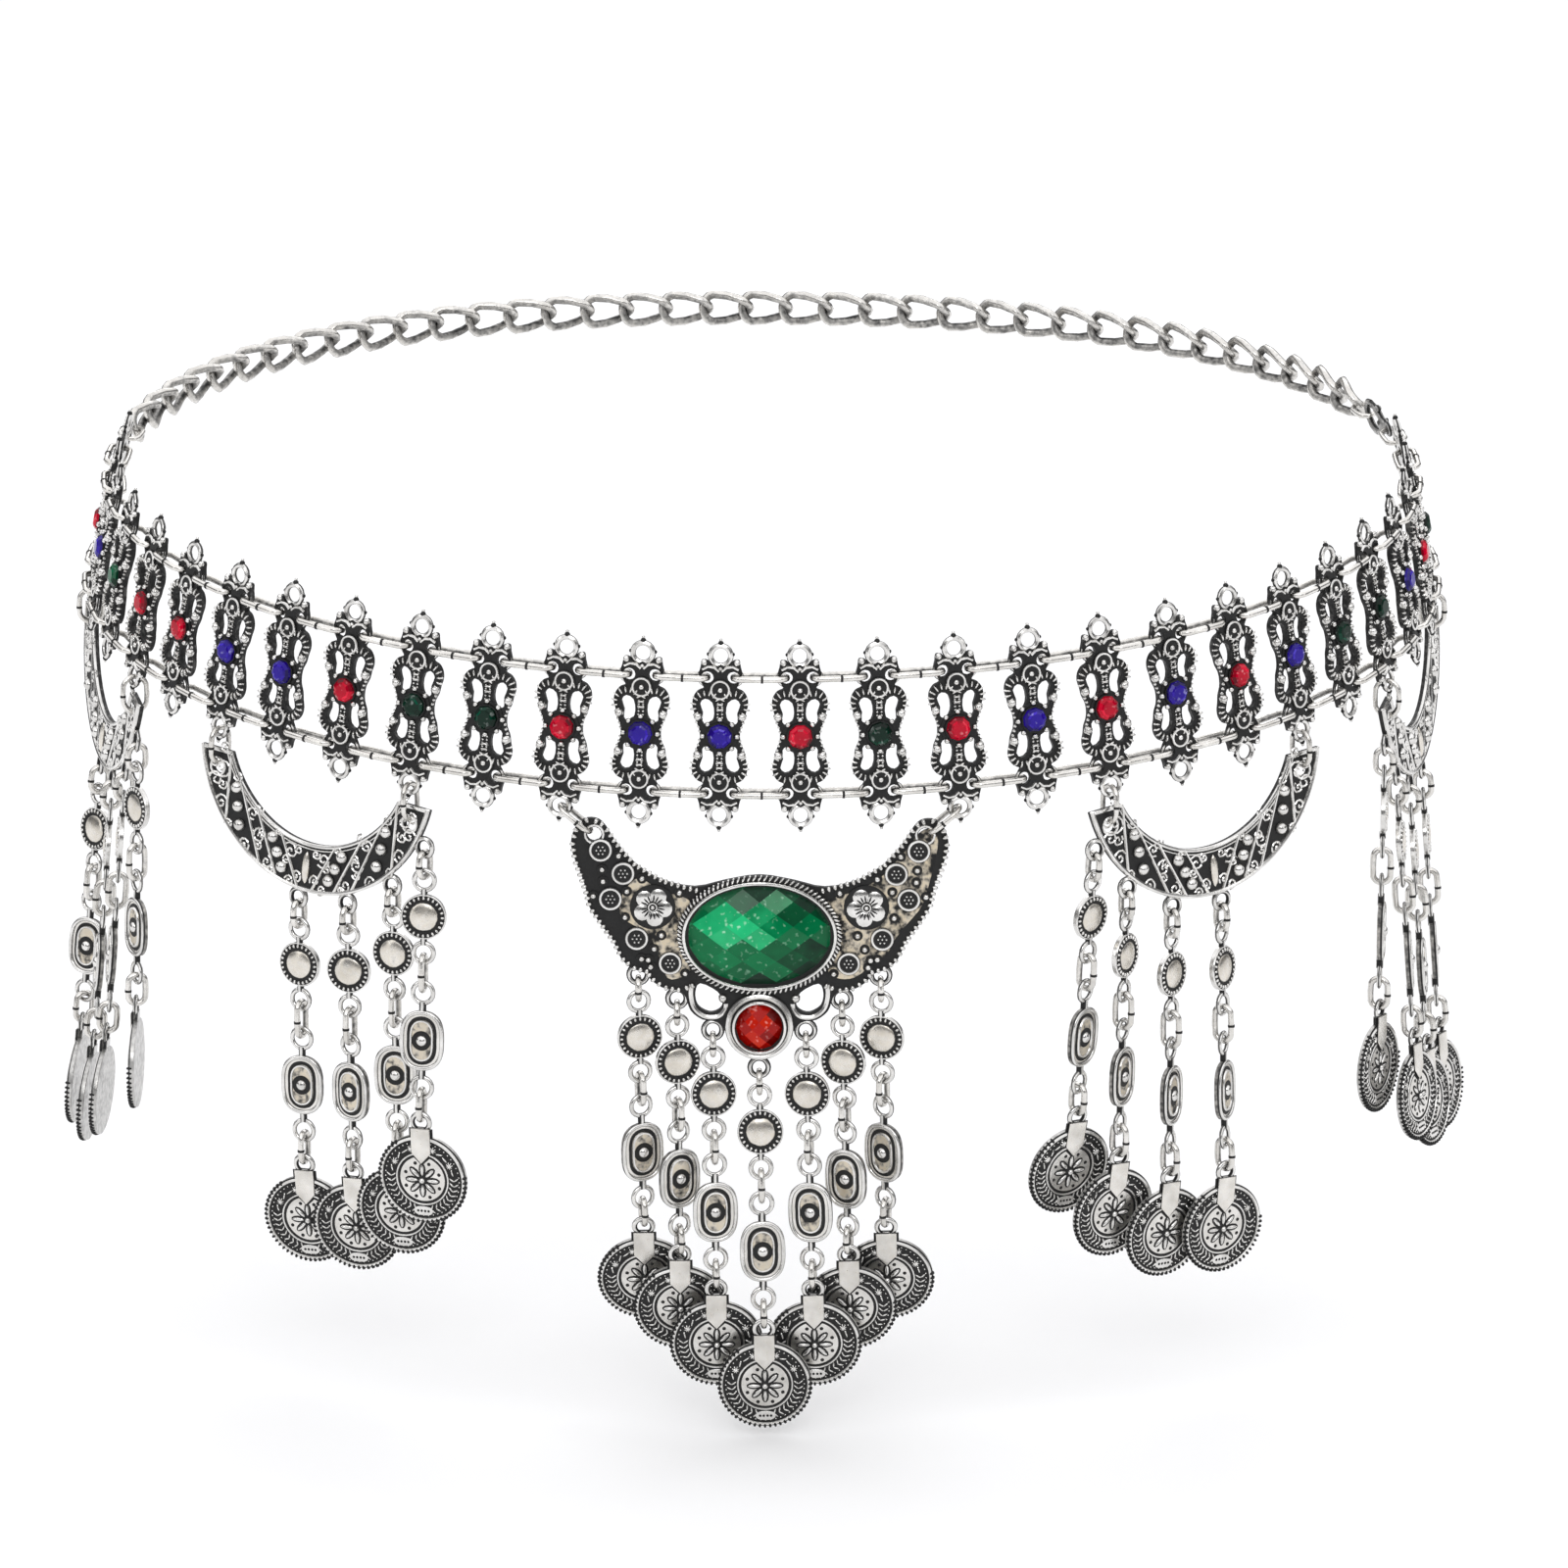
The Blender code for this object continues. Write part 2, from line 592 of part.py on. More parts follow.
def clasp_piece(silver):
    """The lobster clasp, closed on the chain's end ring, with the ring that ties it to bar 28."""
    left, right = chain_ends()
    place, frame = back_point(right + CLASP_RING_RUN + CLASP_LENGTH / 2)
    set_at = frame_at(place, frame)
    body = [(6.2, 0.9), (4.2, 3.3), (0.4, 3.8), (-3.4, 2.4), (-6.3, 1.6), (-6.3, -1.6), (-3.4, -2.4), (0.4, -3.6),
            (4.2, -3.1), (6.2, -0.9)]
    mouth = [(4.8, 0.4), (3.6, 2.0), (0.6, 2.5), (-1.6, 0.9), (-1.2, -0.8), (0.9, -1.9), (3.6, -1.8), (4.8, -0.4)]
    plate = flat_plate("lobster_clasp", in_metres(body), [in_metres(mouth)], CLASP_THICKNESS, set_at)
    start = bar_frame(BAR_COUNT) @ Vector((SHOULDER[0] * MM, SHOULDER[1] * MM, 0))
    ring = link_ring("clasp_ring", set_at @ Vector((-5.2 * MM, 0, 0)), start, frame.col[2].xyz)
    return joined("lobster_clasp", [plate, ring], silver)


def frame_at(place, frame):
    moved = frame.copy()
    moved.translation = place
    return moved


def build():
    clear_scene()
    silver = material("antique_silver", (0.62, 0.61, 0.58), 1.0, 0.35)
    green = material("green_stone", (0.0, 0.30, 0.10), 0.0, 0.08)
    red = material("red_stone", (0.60, 0.03, 0.01), 0.0, 0.08)
    for number in range(1, BAR_COUNT + 1):
        bar_piece(number, silver)
    centre_piece(silver)
    gem_piece("green_gem", GREEN_GEM, green)
    gem_piece("red_gem", RED_GEM, red)
    for pendant, row in PENDANTS.items():
        centres = centre_loop_centres()
        if row["casting"] == "crescent":
            crescent_piece(pendant, silver)
            centres = crescent_loop_centres(row["side"])
        for index, centre in enumerate(centres):
            strand_piece(pendant, index, centre, silver)
    chain_piece(silver)
    clasp_piece(silver)


build()
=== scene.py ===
import math
import random

import bmesh
import bpy
from mathutils import Matrix, Vector


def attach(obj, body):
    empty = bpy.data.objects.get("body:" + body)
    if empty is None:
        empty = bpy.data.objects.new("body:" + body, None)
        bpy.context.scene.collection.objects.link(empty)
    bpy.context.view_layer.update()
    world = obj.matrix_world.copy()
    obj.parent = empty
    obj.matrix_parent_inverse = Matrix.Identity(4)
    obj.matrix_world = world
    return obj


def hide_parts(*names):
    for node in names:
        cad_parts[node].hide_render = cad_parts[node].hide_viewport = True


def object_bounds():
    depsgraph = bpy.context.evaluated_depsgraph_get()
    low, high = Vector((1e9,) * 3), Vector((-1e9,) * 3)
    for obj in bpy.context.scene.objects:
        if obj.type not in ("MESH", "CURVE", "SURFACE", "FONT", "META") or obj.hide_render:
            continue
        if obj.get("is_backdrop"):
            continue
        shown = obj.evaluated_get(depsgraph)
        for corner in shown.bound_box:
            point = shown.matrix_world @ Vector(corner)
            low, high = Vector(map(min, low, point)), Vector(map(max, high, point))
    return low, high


# A coin belt in antiqued silver: openwork bars, hung castings, coin strands and a curb chain.
# Each pattern is modelled flat in millimetres, X right, Y up and Z out of its face, then copied into place.

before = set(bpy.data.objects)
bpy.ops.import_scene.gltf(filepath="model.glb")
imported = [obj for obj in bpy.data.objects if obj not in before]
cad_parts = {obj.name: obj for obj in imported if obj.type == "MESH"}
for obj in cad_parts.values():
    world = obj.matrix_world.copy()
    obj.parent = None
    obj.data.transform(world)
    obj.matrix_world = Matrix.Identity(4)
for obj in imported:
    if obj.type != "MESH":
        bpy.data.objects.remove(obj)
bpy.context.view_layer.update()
mm = 0.001
down = Vector((0, 0, -1))
dice = random.Random(11)
print("packed belt loaded,", len(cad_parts), "nodes")

# where things hang, in metres

belt = {
    "halfWidth": 144 * mm, "halfDepth": 118 * mm, "tilt": math.radians(11.4), "flare": math.radians(12),
    "bars": 28, "pitch": 16.3 * mm, "shoulder": (2.7, 12.1), "reach": 2.7 * mm, "endRing": 16.6 * mm,
    "ringDepth": 2.2, "hangDepth": 2.7, "wire": 0.58, "barWire": 0.68, "holeSlack": 0.72 * mm,
}
pendants = {
    "far_left": {"bars": (2, 5), "kind": "crescent", "side": 1, "lean": 5.0},
    "left": {"bars": (7, 10), "kind": "crescent", "side": 1, "lean": 1.0},
    "centre": {"bars": (12, 17), "kind": "centre", "side": 1, "lean": 0.0},
    "right": {"bars": (19, 22), "kind": "crescent", "side": -1, "lean": 1.0},
    "far_right": {"bars": (24, 27), "kind": "crescent", "side": -1, "lean": 5.0},
}
hang = {"crescent": {"holeX": 25.3, "drop": 8.6}, "centre": {"holeX": 34.0, "drop": 6.0}}
ringAcross = Vector((1, 0, 0))
ringBack = Vector((0, math.cos(belt["tilt"]), math.sin(belt["tilt"])))
ringUp = ringAcross.cross(ringBack)


def ellipseAngles(step=mm / 4):  # angles at equal steps along the ring, from the front
    angle, found = 0.0, [0.0]
    while angle < 2 * math.pi:
        angle += step / math.hypot(belt["halfWidth"] * math.cos(angle), belt["halfDepth"] * math.sin(angle))
        found.append(angle)
    return found, step


beltAngles, beltStep = ellipseAngles()
beltLength = (len(beltAngles) - 1) * beltStep


def frameOf(place, along, up):
    x = along.normalized()
    z = x.cross(up).normalized()
    y = z.cross(x)
    return Matrix(((x.x, y.x, z.x, place.x), (x.y, y.y, z.y, place.y), (x.z, y.z, z.z, place.z), (0, 0, 0, 1)))


def ringFrame(distance):
    angle = beltAngles[int(round((distance % beltLength) / beltStep)) % len(beltAngles)]
    sine, cosine = math.sin(angle), math.cos(angle)
    place = ringAcross * belt["halfWidth"] * sine - ringBack * belt["halfDepth"] * cosine
    along = (ringAcross * belt["halfWidth"] * cosine + ringBack * belt["halfDepth"] * sine).normalized()
    outward = along.cross(ringUp)
    return frameOf(place, along, ringUp * math.cos(belt["flare"]) - outward * math.sin(belt["flare"]))


def barFrame(number):
    return ringFrame((number - (belt["bars"] + 1) / 2) * belt["pitch"])


def barEnd(number):
    return barFrame(number) @ Vector((0, -belt["endRing"], 0))


def pendantFrame(name):  # the hinge line between the two horns
    row = pendants[name]
    left, right = (barEnd(number) for number in row["bars"])
    along = (right - left).normalized()
    outward = along.cross(-down).normalized()
    lean = math.radians(row["lean"])
    up = -down * math.cos(lean) - outward * math.sin(lean)
    return frameOf((left + right) / 2 + down * hang[row["kind"]]["drop"] * mm, along, up)


def inMillimetres(place):
    return place @ Matrix.Scale(mm, 4)


# modelling helpers


def pick(things):
    bpy.ops.object.select_all(action="DESELECT")
    for thing in things:
        thing.select_set(True)
    bpy.context.view_layer.objects.active = things[0]


def settle(thing):  # the object's place goes into its mesh
    thing.data.transform(thing.matrix_basis)
    thing.matrix_basis = Matrix.Identity(4)
    return thing


def silvered(thing, tone, warm=0.0):  # tone: 0 black, for oxide in recesses and for painted shade on the sides of wires and rims, 1 polished; warm: yellowed metal
    for name, value in (("tone", tone), ("warm", warm)):
        layer = thing.data.attributes.new(name, "FLOAT", "POINT")
        spread = [value(v.co) if callable(value) else value for v in thing.data.vertices]
        layer.data.foreach_set("value", spread)
    return thing


def ball(x, y, z, radius, tone=1.0, size=(1, 1, 1), turn=0.0, segments=10, rings=6, warm=0.0):
    bpy.ops.mesh.primitive_uv_sphere_add(segments=segments, ring_count=rings, radius=radius,
                                         location=(x, y, z), rotation=(0, 0, turn), scale=size)
    return silvered(settle(bpy.context.object), tone, warm)


def hoop(x, y, z, radius, wireRadius, tone=1.0, flat=1.0, segments=20, sides=8, warm=0.0):
    bpy.ops.mesh.primitive_torus_add(major_segments=segments, minor_segments=sides, major_radius=radius,
                                     minor_radius=wireRadius)
    thing = bpy.context.object
    thing.scale = (1, 1, flat)
    thing.location = (x, y, z)
    settle(thing)
    if callable(tone):
        return silvered(thing, tone, warm)
    # painted shade: the wire's inner and outer sides, round its middle, are black, and its front and back keep the tone
    low = wireRadius * flat * 0.35
    return silvered(thing, lambda spot: tone if abs(spot.z - z) > low else 0.0, warm)


def eyeTone(x, y, radius):  # an eye's inner and outer sides are painted shade, near black, and its face is bright
    def tone(spot):
        reach = math.hypot(spot.x - x, spot.y - y) - radius
        return 0.05 if reach < -0.38 else 0.12 if reach > 0.4 else 0.98

    return tone


def drum(x, y, z, radius, height, tone=0.0, sides=24, bevel=0.0, size=(1, 1, 1), warm=0.0):
    bpy.ops.mesh.primitive_cylinder_add(vertices=sides, radius=radius, depth=height, location=(x, y, z), scale=size)
    thing = settle(bpy.context.object)
    if bevel:
        edge = thing.modifiers.new("edge", "BEVEL")
        edge.width = bevel
        edge.segments = 2
        bpy.ops.object.modifier_apply(modifier=edge.name)
    return silvered(thing, tone, warm)


def repeat(source, spots):  # one modelled bead or rib, copied to each spot (x, y, z, turn)
    made = []
    for x, y, z, turn in spots:
        twin = source.copy()
        twin.data = source.data.copy()
        bpy.context.collection.objects.link(twin)
        twin.data.transform(Matrix.Translation((x, y, z)) @ Matrix.Rotation(turn, 4, "Z"))
        made.append(twin)
    bpy.data.objects.remove(source, do_unlink=True)
    return made


def curveMesh(splines, depth, resolution, closed, flat=False, extrude=0.0):
    curve = bpy.data.curves.new("curve", "CURVE")
    curve.dimensions = "2D" if flat else "3D"
    curve.fill_mode = "BOTH" if flat else "FULL"
    curve.bevel_depth = depth
    curve.bevel_resolution = resolution
    curve.extrude = extrude
    curve.use_fill_caps = not closed
    if flat:
        curve.offset = -depth
    for points in splines:
        spline = curve.splines.new("POLY")
        spline.points.add(len(points) - 1)
        spline.use_cyclic_u = closed
        for point, spot in zip(spline.points, points):
            point.co = (spot[0], spot[1], spot[2] if len(spot) > 2 else 0, 1)
            point.radius = spot[3] if len(spot) > 3 else 1
    thing = bpy.data.objects.new("curve", curve)
    bpy.context.collection.objects.link(thing)
    pick([thing])
    bpy.ops.object.convert(target="MESH")
    return bpy.context.object


def wire(points, radius, closed=False, tone=1.0, z=0.0, sides=1, warm=0.0):
    spots = [(p[0], p[1], (p[2] if len(p) > 2 else 0) + z, p[3] if len(p) > 3 else 1) for p in points]
    return silvered(curveMesh([spots], radius, sides, closed), tone, warm)


def sheet(outline, holes, thickness, z=0.0, edge=0.14, face=0.0, side=0.25, back=0.6, warm=0.0):
    thing = curveMesh([outline, *holes], edge, 1, True, True, thickness / 2 - edge)
    top = thickness / 2 - edge * 0.5

    def tone(spot):
        return face if spot.z > top else back if spot.z < -top else side

    silvered(thing, tone, warm)
    thing.data.transform(Matrix.Translation((0, 0, z)))
    return thing


def fourfold(quarter):
    right = list(quarter) + [(x, -y) for x, y in reversed(quarter) if y != 0]
    return right + [(-x, y) for x, y in reversed(right) if x != 0]


def flowing(points, steps=4):  # a smooth line from the second point to the last but one
    found = []
    for a, b, c, d in zip(points, points[1:], points[2:], points[3:]):
        a, b, c, d = Vector(a), Vector(b), Vector(c), Vector(d)
        for j in range(steps):
            t = j / steps
            spot = 0.5 * (2 * b + (c - a) * t + (2 * a - 5 * b + 4 * c - d) * t ** 2 + (3 * b - a - 3 * c + d) * t ** 3)
            found.append(tuple(spot))
    return found


def rounded(points, steps=3):  # a smooth closed line through all the points
    return flowing([points[-1], *points, *points[:2]], steps)


def circle(x, y, radius, sides=18, start=0.0, tall=1.0):
    turns = [start + 2 * math.pi * i / sides for i in range(sides)]
    return [(x + radius * math.cos(a), y + radius * tall * math.sin(a)) for a in turns]


def arc(x, y, radius, first, last, steps):  # degrees from straight down, plus towards the right
    turns = [math.radians(first + (last - first) * i / steps) for i in range(steps + 1)]
    return [(x + radius * math.sin(a), y - radius * math.cos(a)) for a in turns]


def spaced(points, pitch):  # spots at equal steps along a line, with the line's direction
    found, left = [], 0.0
    for start, end in zip(points, points[1:]):
        a, b = Vector(start), Vector(end)
        length = (b - a).length
        while left <= length:
            spot = a.lerp(b, left / length)
            found.append((spot.x, spot.y, math.atan2(b.y - a.y, b.x - a.x)))
            left += pitch
        left -= length
    return found


def merge(name, parts, finishes, smooth=40):
    pick(parts)
    bpy.ops.object.join()
    thing = bpy.context.object
    thing.name = name
    bpy.ops.object.mode_set(mode="EDIT")
    bpy.ops.mesh.select_all(action="SELECT")
    bpy.ops.mesh.remove_doubles(threshold=0.0005)
    bpy.ops.mesh.normals_make_consistent(inside=False)
    bpy.ops.object.mode_set(mode="OBJECT")
    thing.data.materials.clear()
    for finish in finishes:
        thing.data.materials.append(finish)
    bpy.ops.object.shade_smooth_by_angle(angle=math.radians(smooth))
    even = thing.modifiers.new("even", "WEIGHTED_NORMAL")  # large flat faces stay flat to their edges
    even.keep_sharp = True
    bpy.ops.object.modifier_apply(modifier=even.name)
    return thing


def stretch(thing, test, move):  # the chosen corners are moved as a group
    pick([thing])
    bpy.ops.object.mode_set(mode="EDIT")
    bpy.ops.mesh.select_mode(type="VERT")
    bpy.ops.mesh.select_all(action="DESELECT")
    shape = bmesh.from_edit_mesh(thing.data)
    for corner in shape.verts:
        corner.select = test(corner.co)
    shape.select_flush_mode()
    bmesh.update_edit_mesh(thing.data)
    bpy.ops.transform.translate(value=move)
    bpy.ops.object.mode_set(mode="OBJECT")
    return thing


# finishes


class Flow:  # a socket with arithmetic
    def __init__(self, tree, socket):
        self.tree, self.socket = tree, socket

    def calc(self, kind, other=None, third=None):
        inputs = [self.socket] + [v.socket if isinstance(v, Flow) else v for v in (other, third) if v is not None]
        return node(self.tree, "ShaderNodeMath", {"operation": kind}, dict(enumerate(inputs)))

    def __add__(self, other):
        return self.calc("ADD", other)

    def __radd__(self, other):
        return self.calc("ADD", other)

    def __mul__(self, other):
        return self.calc("MULTIPLY", other)

    def __rmul__(self, other):
        return self.calc("MULTIPLY", other)

    def __sub__(self, other):
        return self.calc("SUBTRACT", other)

    def __rsub__(self, other):
        return (self * -1.0) + other

    def clipped(self):
        return self.calc("MAXIMUM", 0.0).calc("MINIMUM", 1.0)


def node(tree, kind, settings=None, inputs=None, output=0):
    made = tree.nodes.new(kind)
    for key, value in (settings or {}).items():
        if key == "stops":
            ramp = made.color_ramp
            while len(ramp.elements) < len(value):
                ramp.elements.new(0.5)
            for element, (place, colour) in zip(ramp.elements, value):
                element.position, element.color = place, (*colour, 1)
        else:
            setattr(made, key, value)
    for key, value in (inputs or {}).items():
        if isinstance(value, Flow):
            value = value.socket
        if isinstance(value, bpy.types.NodeSocket):
            tree.links.new(value, made.inputs[key])
        else:
            made.inputs[key].default_value = value
    return Flow(tree, made.outputs[output])


def newFinish(name):
    finish = bpy.data.materials.new(name)
    finish.use_nodes = True
    return finish, finish.node_tree, finish.node_tree.nodes["Principled BSDF"]


def feed(tree, shader, **links):
    for name, flow in links.items():
        tree.links.new(flow.socket, shader.inputs[name.replace("_", " ")])


def blendOf(tree, share, first, second):
    inputs = {0: share, 6: first, 7: second}
    return node(tree, "ShaderNodeMix", {"data_type": "RGBA"}, inputs, 2)


silverLook = {
    "black": (0.004, 0.004, 0.004, 1), "bright": (0.84, 0.83, 0.81, 1), "dull": (0.50, 0.49, 0.47, 1),
    "warm": (0.66, 0.57, 0.42, 1), "mottle": 900, "grain": 3800, "stain": 260,
}


def silverFinish():
    finish, tree, shader = newFinish("antique_silver")
    where = node(tree, "ShaderNodeTexCoord", output=3)
    tone = node(tree, "ShaderNodeAttribute", {"attribute_name": "tone"}, output=2)
    warm = node(tree, "ShaderNodeAttribute", {"attribute_name": "warm"}, output=2)
    mottle = node(tree, "ShaderNodeTexNoise", None, {"Vector": where, "Scale": silverLook["mottle"], "Detail": 4.0})
    stain = node(tree, "ShaderNodeTexNoise", None, {"Vector": where, "Scale": silverLook["stain"], "Detail": 3.0})
    grain = node(tree, "ShaderNodeTexNoise", None, {"Vector": where, "Scale": silverLook["grain"], "Detail": 3.0})
    # the tone holds oxide in the recesses and painted shade on the sides of wires, and the noise adds tarnish blotches
    patinaAndShade = (tone + (mottle - 0.5) * 0.4 + (stain - 0.5) * 0.22).clipped()
    patinaAndShade = (patinaAndShade + warm * ((mottle - 0.5) * 1.1 + (stain - 0.5) * 1.3)).clipped()
    share = node(tree, "ShaderNodeMapRange", {"interpolation_type": "SMOOTHSTEP"},
                 {"Value": patinaAndShade, "From Min": 0.22, "From Max": 0.72})
    metal = blendOf(tree, (stain * 1.8 - 0.5).clipped(), silverLook["bright"], silverLook["dull"])
    metal = blendOf(tree, (warm * (mottle * 1.6)).clipped(), metal, silverLook["warm"])
    colour = blendOf(tree, share, silverLook["black"], metal)
    rough = 0.58 - share * 0.36 + (mottle - 0.5) * 0.16 + warm * 0.14
    bump = node(tree, "ShaderNodeBump", None, {"Strength": 0.28, "Distance": 0.00006, "Height": grain + mottle * 2.2})
    feed(tree, shader, Base_Color=colour, Roughness=rough.clipped(), Metallic=share * 0.9 + 0.1, Normal=bump)
    return finish


# each stone's colour in painted shade, half light and painted highlight
stoneLook = {
    "red_stone": {"shaded": (0.10, 0.0, 0.005, 1), "mid": (0.52, 0.0, 0.020, 1), "light": (0.92, 0.02, 0.06, 1)},
    "blue_stone": {"shaded": (0.006, 0.001, 0.08, 1), "mid": (0.022, 0.006, 0.30, 1), "light": (0.08, 0.045, 0.62, 1)},
    "green_stone": {"shaded": (0.0, 0.02, 0.008, 1), "mid": (0.0, 0.10, 0.04, 1), "light": (0.02, 0.30, 0.14, 1)},
    "deep_stone": {"shaded": (0.0, 0.004, 0.002, 1), "mid": (0.0, 0.018, 0.009, 1), "light": (0.003, 0.09, 0.05, 1)},
    "emerald": {"shaded": (0.0, 0.022, 0.009, 1), "mid": (0.0, 0.17, 0.055, 1), "light": (0.03, 0.62, 0.24, 1)},
    "carnelian": {"shaded": (0.10, 0.0, 0.0, 1), "mid": (0.42, 0.004, 0.001, 1), "light": (1.0, 0.07, 0.012, 1)},
}


def stoneFinish(name):
    look = stoneLook[name]
    finish, tree, shader = newFinish(name)
    where = node(tree, "ShaderNodeTexCoord", output=3)
    # painted light per facet, varied by noise, picks among the stone's shaded, mid and light colours
    facet = node(tree, "ShaderNodeAttribute", {"attribute_name": "facet"}, output=2)
    flash = node(tree, "ShaderNodeTexNoise", None, {"Vector": where, "Scale": 240.0, "Detail": 2.0})
    share = (facet + (flash - 0.5) * 0.35).clipped()
    low = blendOf(tree, (share * 2.0).clipped(), look["shaded"], look["mid"])
    colour = blendOf(tree, (share * 2.0 - 1.0).clipped(), low, look["light"])
    # painted glints: small pale spots on the brighter facets
    spark = node(tree, "ShaderNodeTexNoise", None, {"Vector": where, "Scale": 950.0, "Detail": 1.0})
    glintColour = tuple(0.45 + 0.55 * part for part in look["light"][:3]) + (1,)
    colour = blendOf(tree, ((spark - 0.62) * 7.0).clipped() * (share * 0.9), colour, glintColour)
    scratch = node(tree, "ShaderNodeTexNoise", None, {"Vector": where, "Scale": 3000.0, "Detail": 2.0})
    shader.inputs["IOR"].default_value = 1.6
    shader.inputs["Specular IOR Level"].default_value = 0.16
    feed(tree, shader, Base_Color=colour, Roughness=0.03 + scratch * 0.06)
    return finish


silver = silverFinish()
stones = {name: stoneFinish(name) for name in stoneLook}
print("finishes made")


# the bar

barLook = {
    "outline": ((0, 14.9), (1.3, 14.3), (2.6, 15.6), (3.8, 15.7), (4.1, 14.3), (4.5, 12.5), (3.8, 10.8), (3.4, 9.9),
                (4.6, 9.3), (5.5, 8.0), (5.7, 6.4), (5.3, 4.8), (5.0, 3.2), (4.3, 1.6), (4.1, 0)),
    "opening": ((3.1, 7.7), (4.1, 6.6), (3.5, 4.7), (3.6, 2.9), (2.8, 2.2), (1.7, 2.9), (1.2, 4.6), (1.6, 6.9)),
    "lobe": (2.75, 6.3), "ribRadius": 2.7, "thickness": 1.4,
    "bow": ((0.3, 13.4), (1.2, 14.2), (2.5, 14.4), (3.7, 13.8)),
}


def barPattern():
    top = barLook["thickness"] / 2
    holes = []
    for sx in (1, -1):
        for sy in (1, -1):
            holes.append(rounded([(sx * x, sy * y) for x, y in barLook["opening"]], 2))
            holes.append(circle(sx * 2.7, sy * 12.1, 1.3, 12))
    parts = [sheet(rounded(fourfold(barLook["outline"])), holes, barLook["thickness"])]
    ribs, beads, specks = [], [], []
    lobeX, lobeY = barLook["lobe"]
    for sx in (1, -1):
        for sy in (1, -1):
            for step in range(11):
                turn = math.radians(-38 + step * 23.5)
                x = lobeX + barLook["ribRadius"] * math.cos(turn)
                y = lobeY + barLook["ribRadius"] * math.sin(turn)
                ribs.append((sx * x, sy * y, top + 0.1, math.atan2(sy * math.sin(turn), sx * math.cos(turn))))
            beads += [(sx * 4.75, sy * 2.8, top, 0), (sx * 4.4, sy * 1.9, top, 0), (sx * 4.15, sy * 0.95, top, 0)]
            specks += [(sx * 0.45, sy * (3.9 + 0.72 * i), top + 0.05, 0) for i in range(5)]
            parts.append(ball(sx * 4.5, sy * 4.0, top, 0.95))
            parts.append(ball(sx * 3.35, sy * 15.2, top - 0.3, 0.72))
            parts.append(ball(sx * 2.5, sy * 16.9, 0, 0.42, 0.05))
            parts.append(hoop(sx * 2.7, sy * 12.2, 0.3, 1.72, 0.38, 0.9, segments=16, sides=6))
            parts.append(wire([(sx * x, sy * y) for x, y in barLook["bow"]], 0.32, z=top))
    for sy in (1, -1):
        parts.append(drum(0, sy * 9.6, top, 2.2, 0.6, 0.0, 18))
        parts.append(hoop(0, sy * 9.6, top + 0.25, 1.82, 0.32, sides=6))
        parts.append(ball(0, sy * 9.6, top + 0.3, 0.62))
        parts.append(hoop(0, sy * 16.6, 0, 2.08, 0.58, 1.0))
        parts.append(ball(0, sy * 19.15, 0, 0.6, 0.0))
        parts.append(ball(0, sy * 19.85, 0, 0.36, 1.0, segments=8, rings=5))
        parts.append(ball(0, sy * 14.0, top, 0.42, 0.9, segments=8, rings=5))
    parts.append(drum(0, 0, top - 0.1, 3.65, 0.5, 0.0, 24))
    parts.append(drum(0, 0, top + 0.2, 2.85, 0.7, 0.0, 20))
    prongs = [(3.5 * math.cos(a), 3.5 * math.sin(a), top + 0.3, 0) for a in (math.pi / 4 * i for i in range(8))]
    parts += repeat(ball(0, 0, 0, 0.6, segments=8, rings=6), prongs)
    parts += repeat(ball(0, 0, 0, 0.84, 1.0, (1, 0.36, 0.7), segments=8, rings=4), ribs)
    parts += repeat(ball(0, 0, 0, 0.34, 1.0, segments=6, rings=4), beads)
    parts += repeat(ball(0, 0, 0, 0.29, 0.9, segments=6, rings=4), specks)
    return merge("bar_pattern", parts, [silver])


def cutStone(name, radius, height):  # a round stone: girdle, crown facets and a table
    bpy.ops.mesh.primitive_uv_sphere_add(segments=9, ring_count=8, radius=radius, scale=(1, 1, height / radius))
    thing = settle(bpy.context.object)
    pick([thing])
    bpy.ops.object.mode_set(mode="EDIT")
    bpy.ops.mesh.select_all(action="SELECT")
    bpy.ops.mesh.bisect(plane_co=(0, 0, height * 0.82), plane_no=(0, 0, 1), use_fill=True, clear_outer=True)
    bpy.ops.mesh.select_all(action="SELECT")
    bpy.ops.mesh.bisect(plane_co=(0, 0, -height * 0.3), plane_no=(0, 0, 1), use_fill=True, clear_inner=True)
    bpy.ops.object.mode_set(mode="OBJECT")
    thing.name = name
    facets(thing, 5)
    return thing


def facets(thing, seed, paintedHighlight=(-0.2, 0.2), reach=1.0):  # facet shades: a painted highlight near the highlight spot, painted shade towards the rim, and a random shade per facet
    roll = random.Random(seed)
    layer = thing.data.attributes.new("facet", "FLOAT", "FACE")
    wide = max(abs(v.co.x) for v in thing.data.vertices)
    tall = max(abs(v.co.y) for v in thing.data.vertices)
    for i, face in enumerate(thing.data.polygons):
        away = math.hypot(face.center.x / wide - paintedHighlight[0], face.center.y / tall - paintedHighlight[1])
        share = 0.78 - 0.62 * away / reach + roll.uniform(-0.26, 0.26)
        layer.data[i].value = min(1.0, max(0.0, share))


# rings


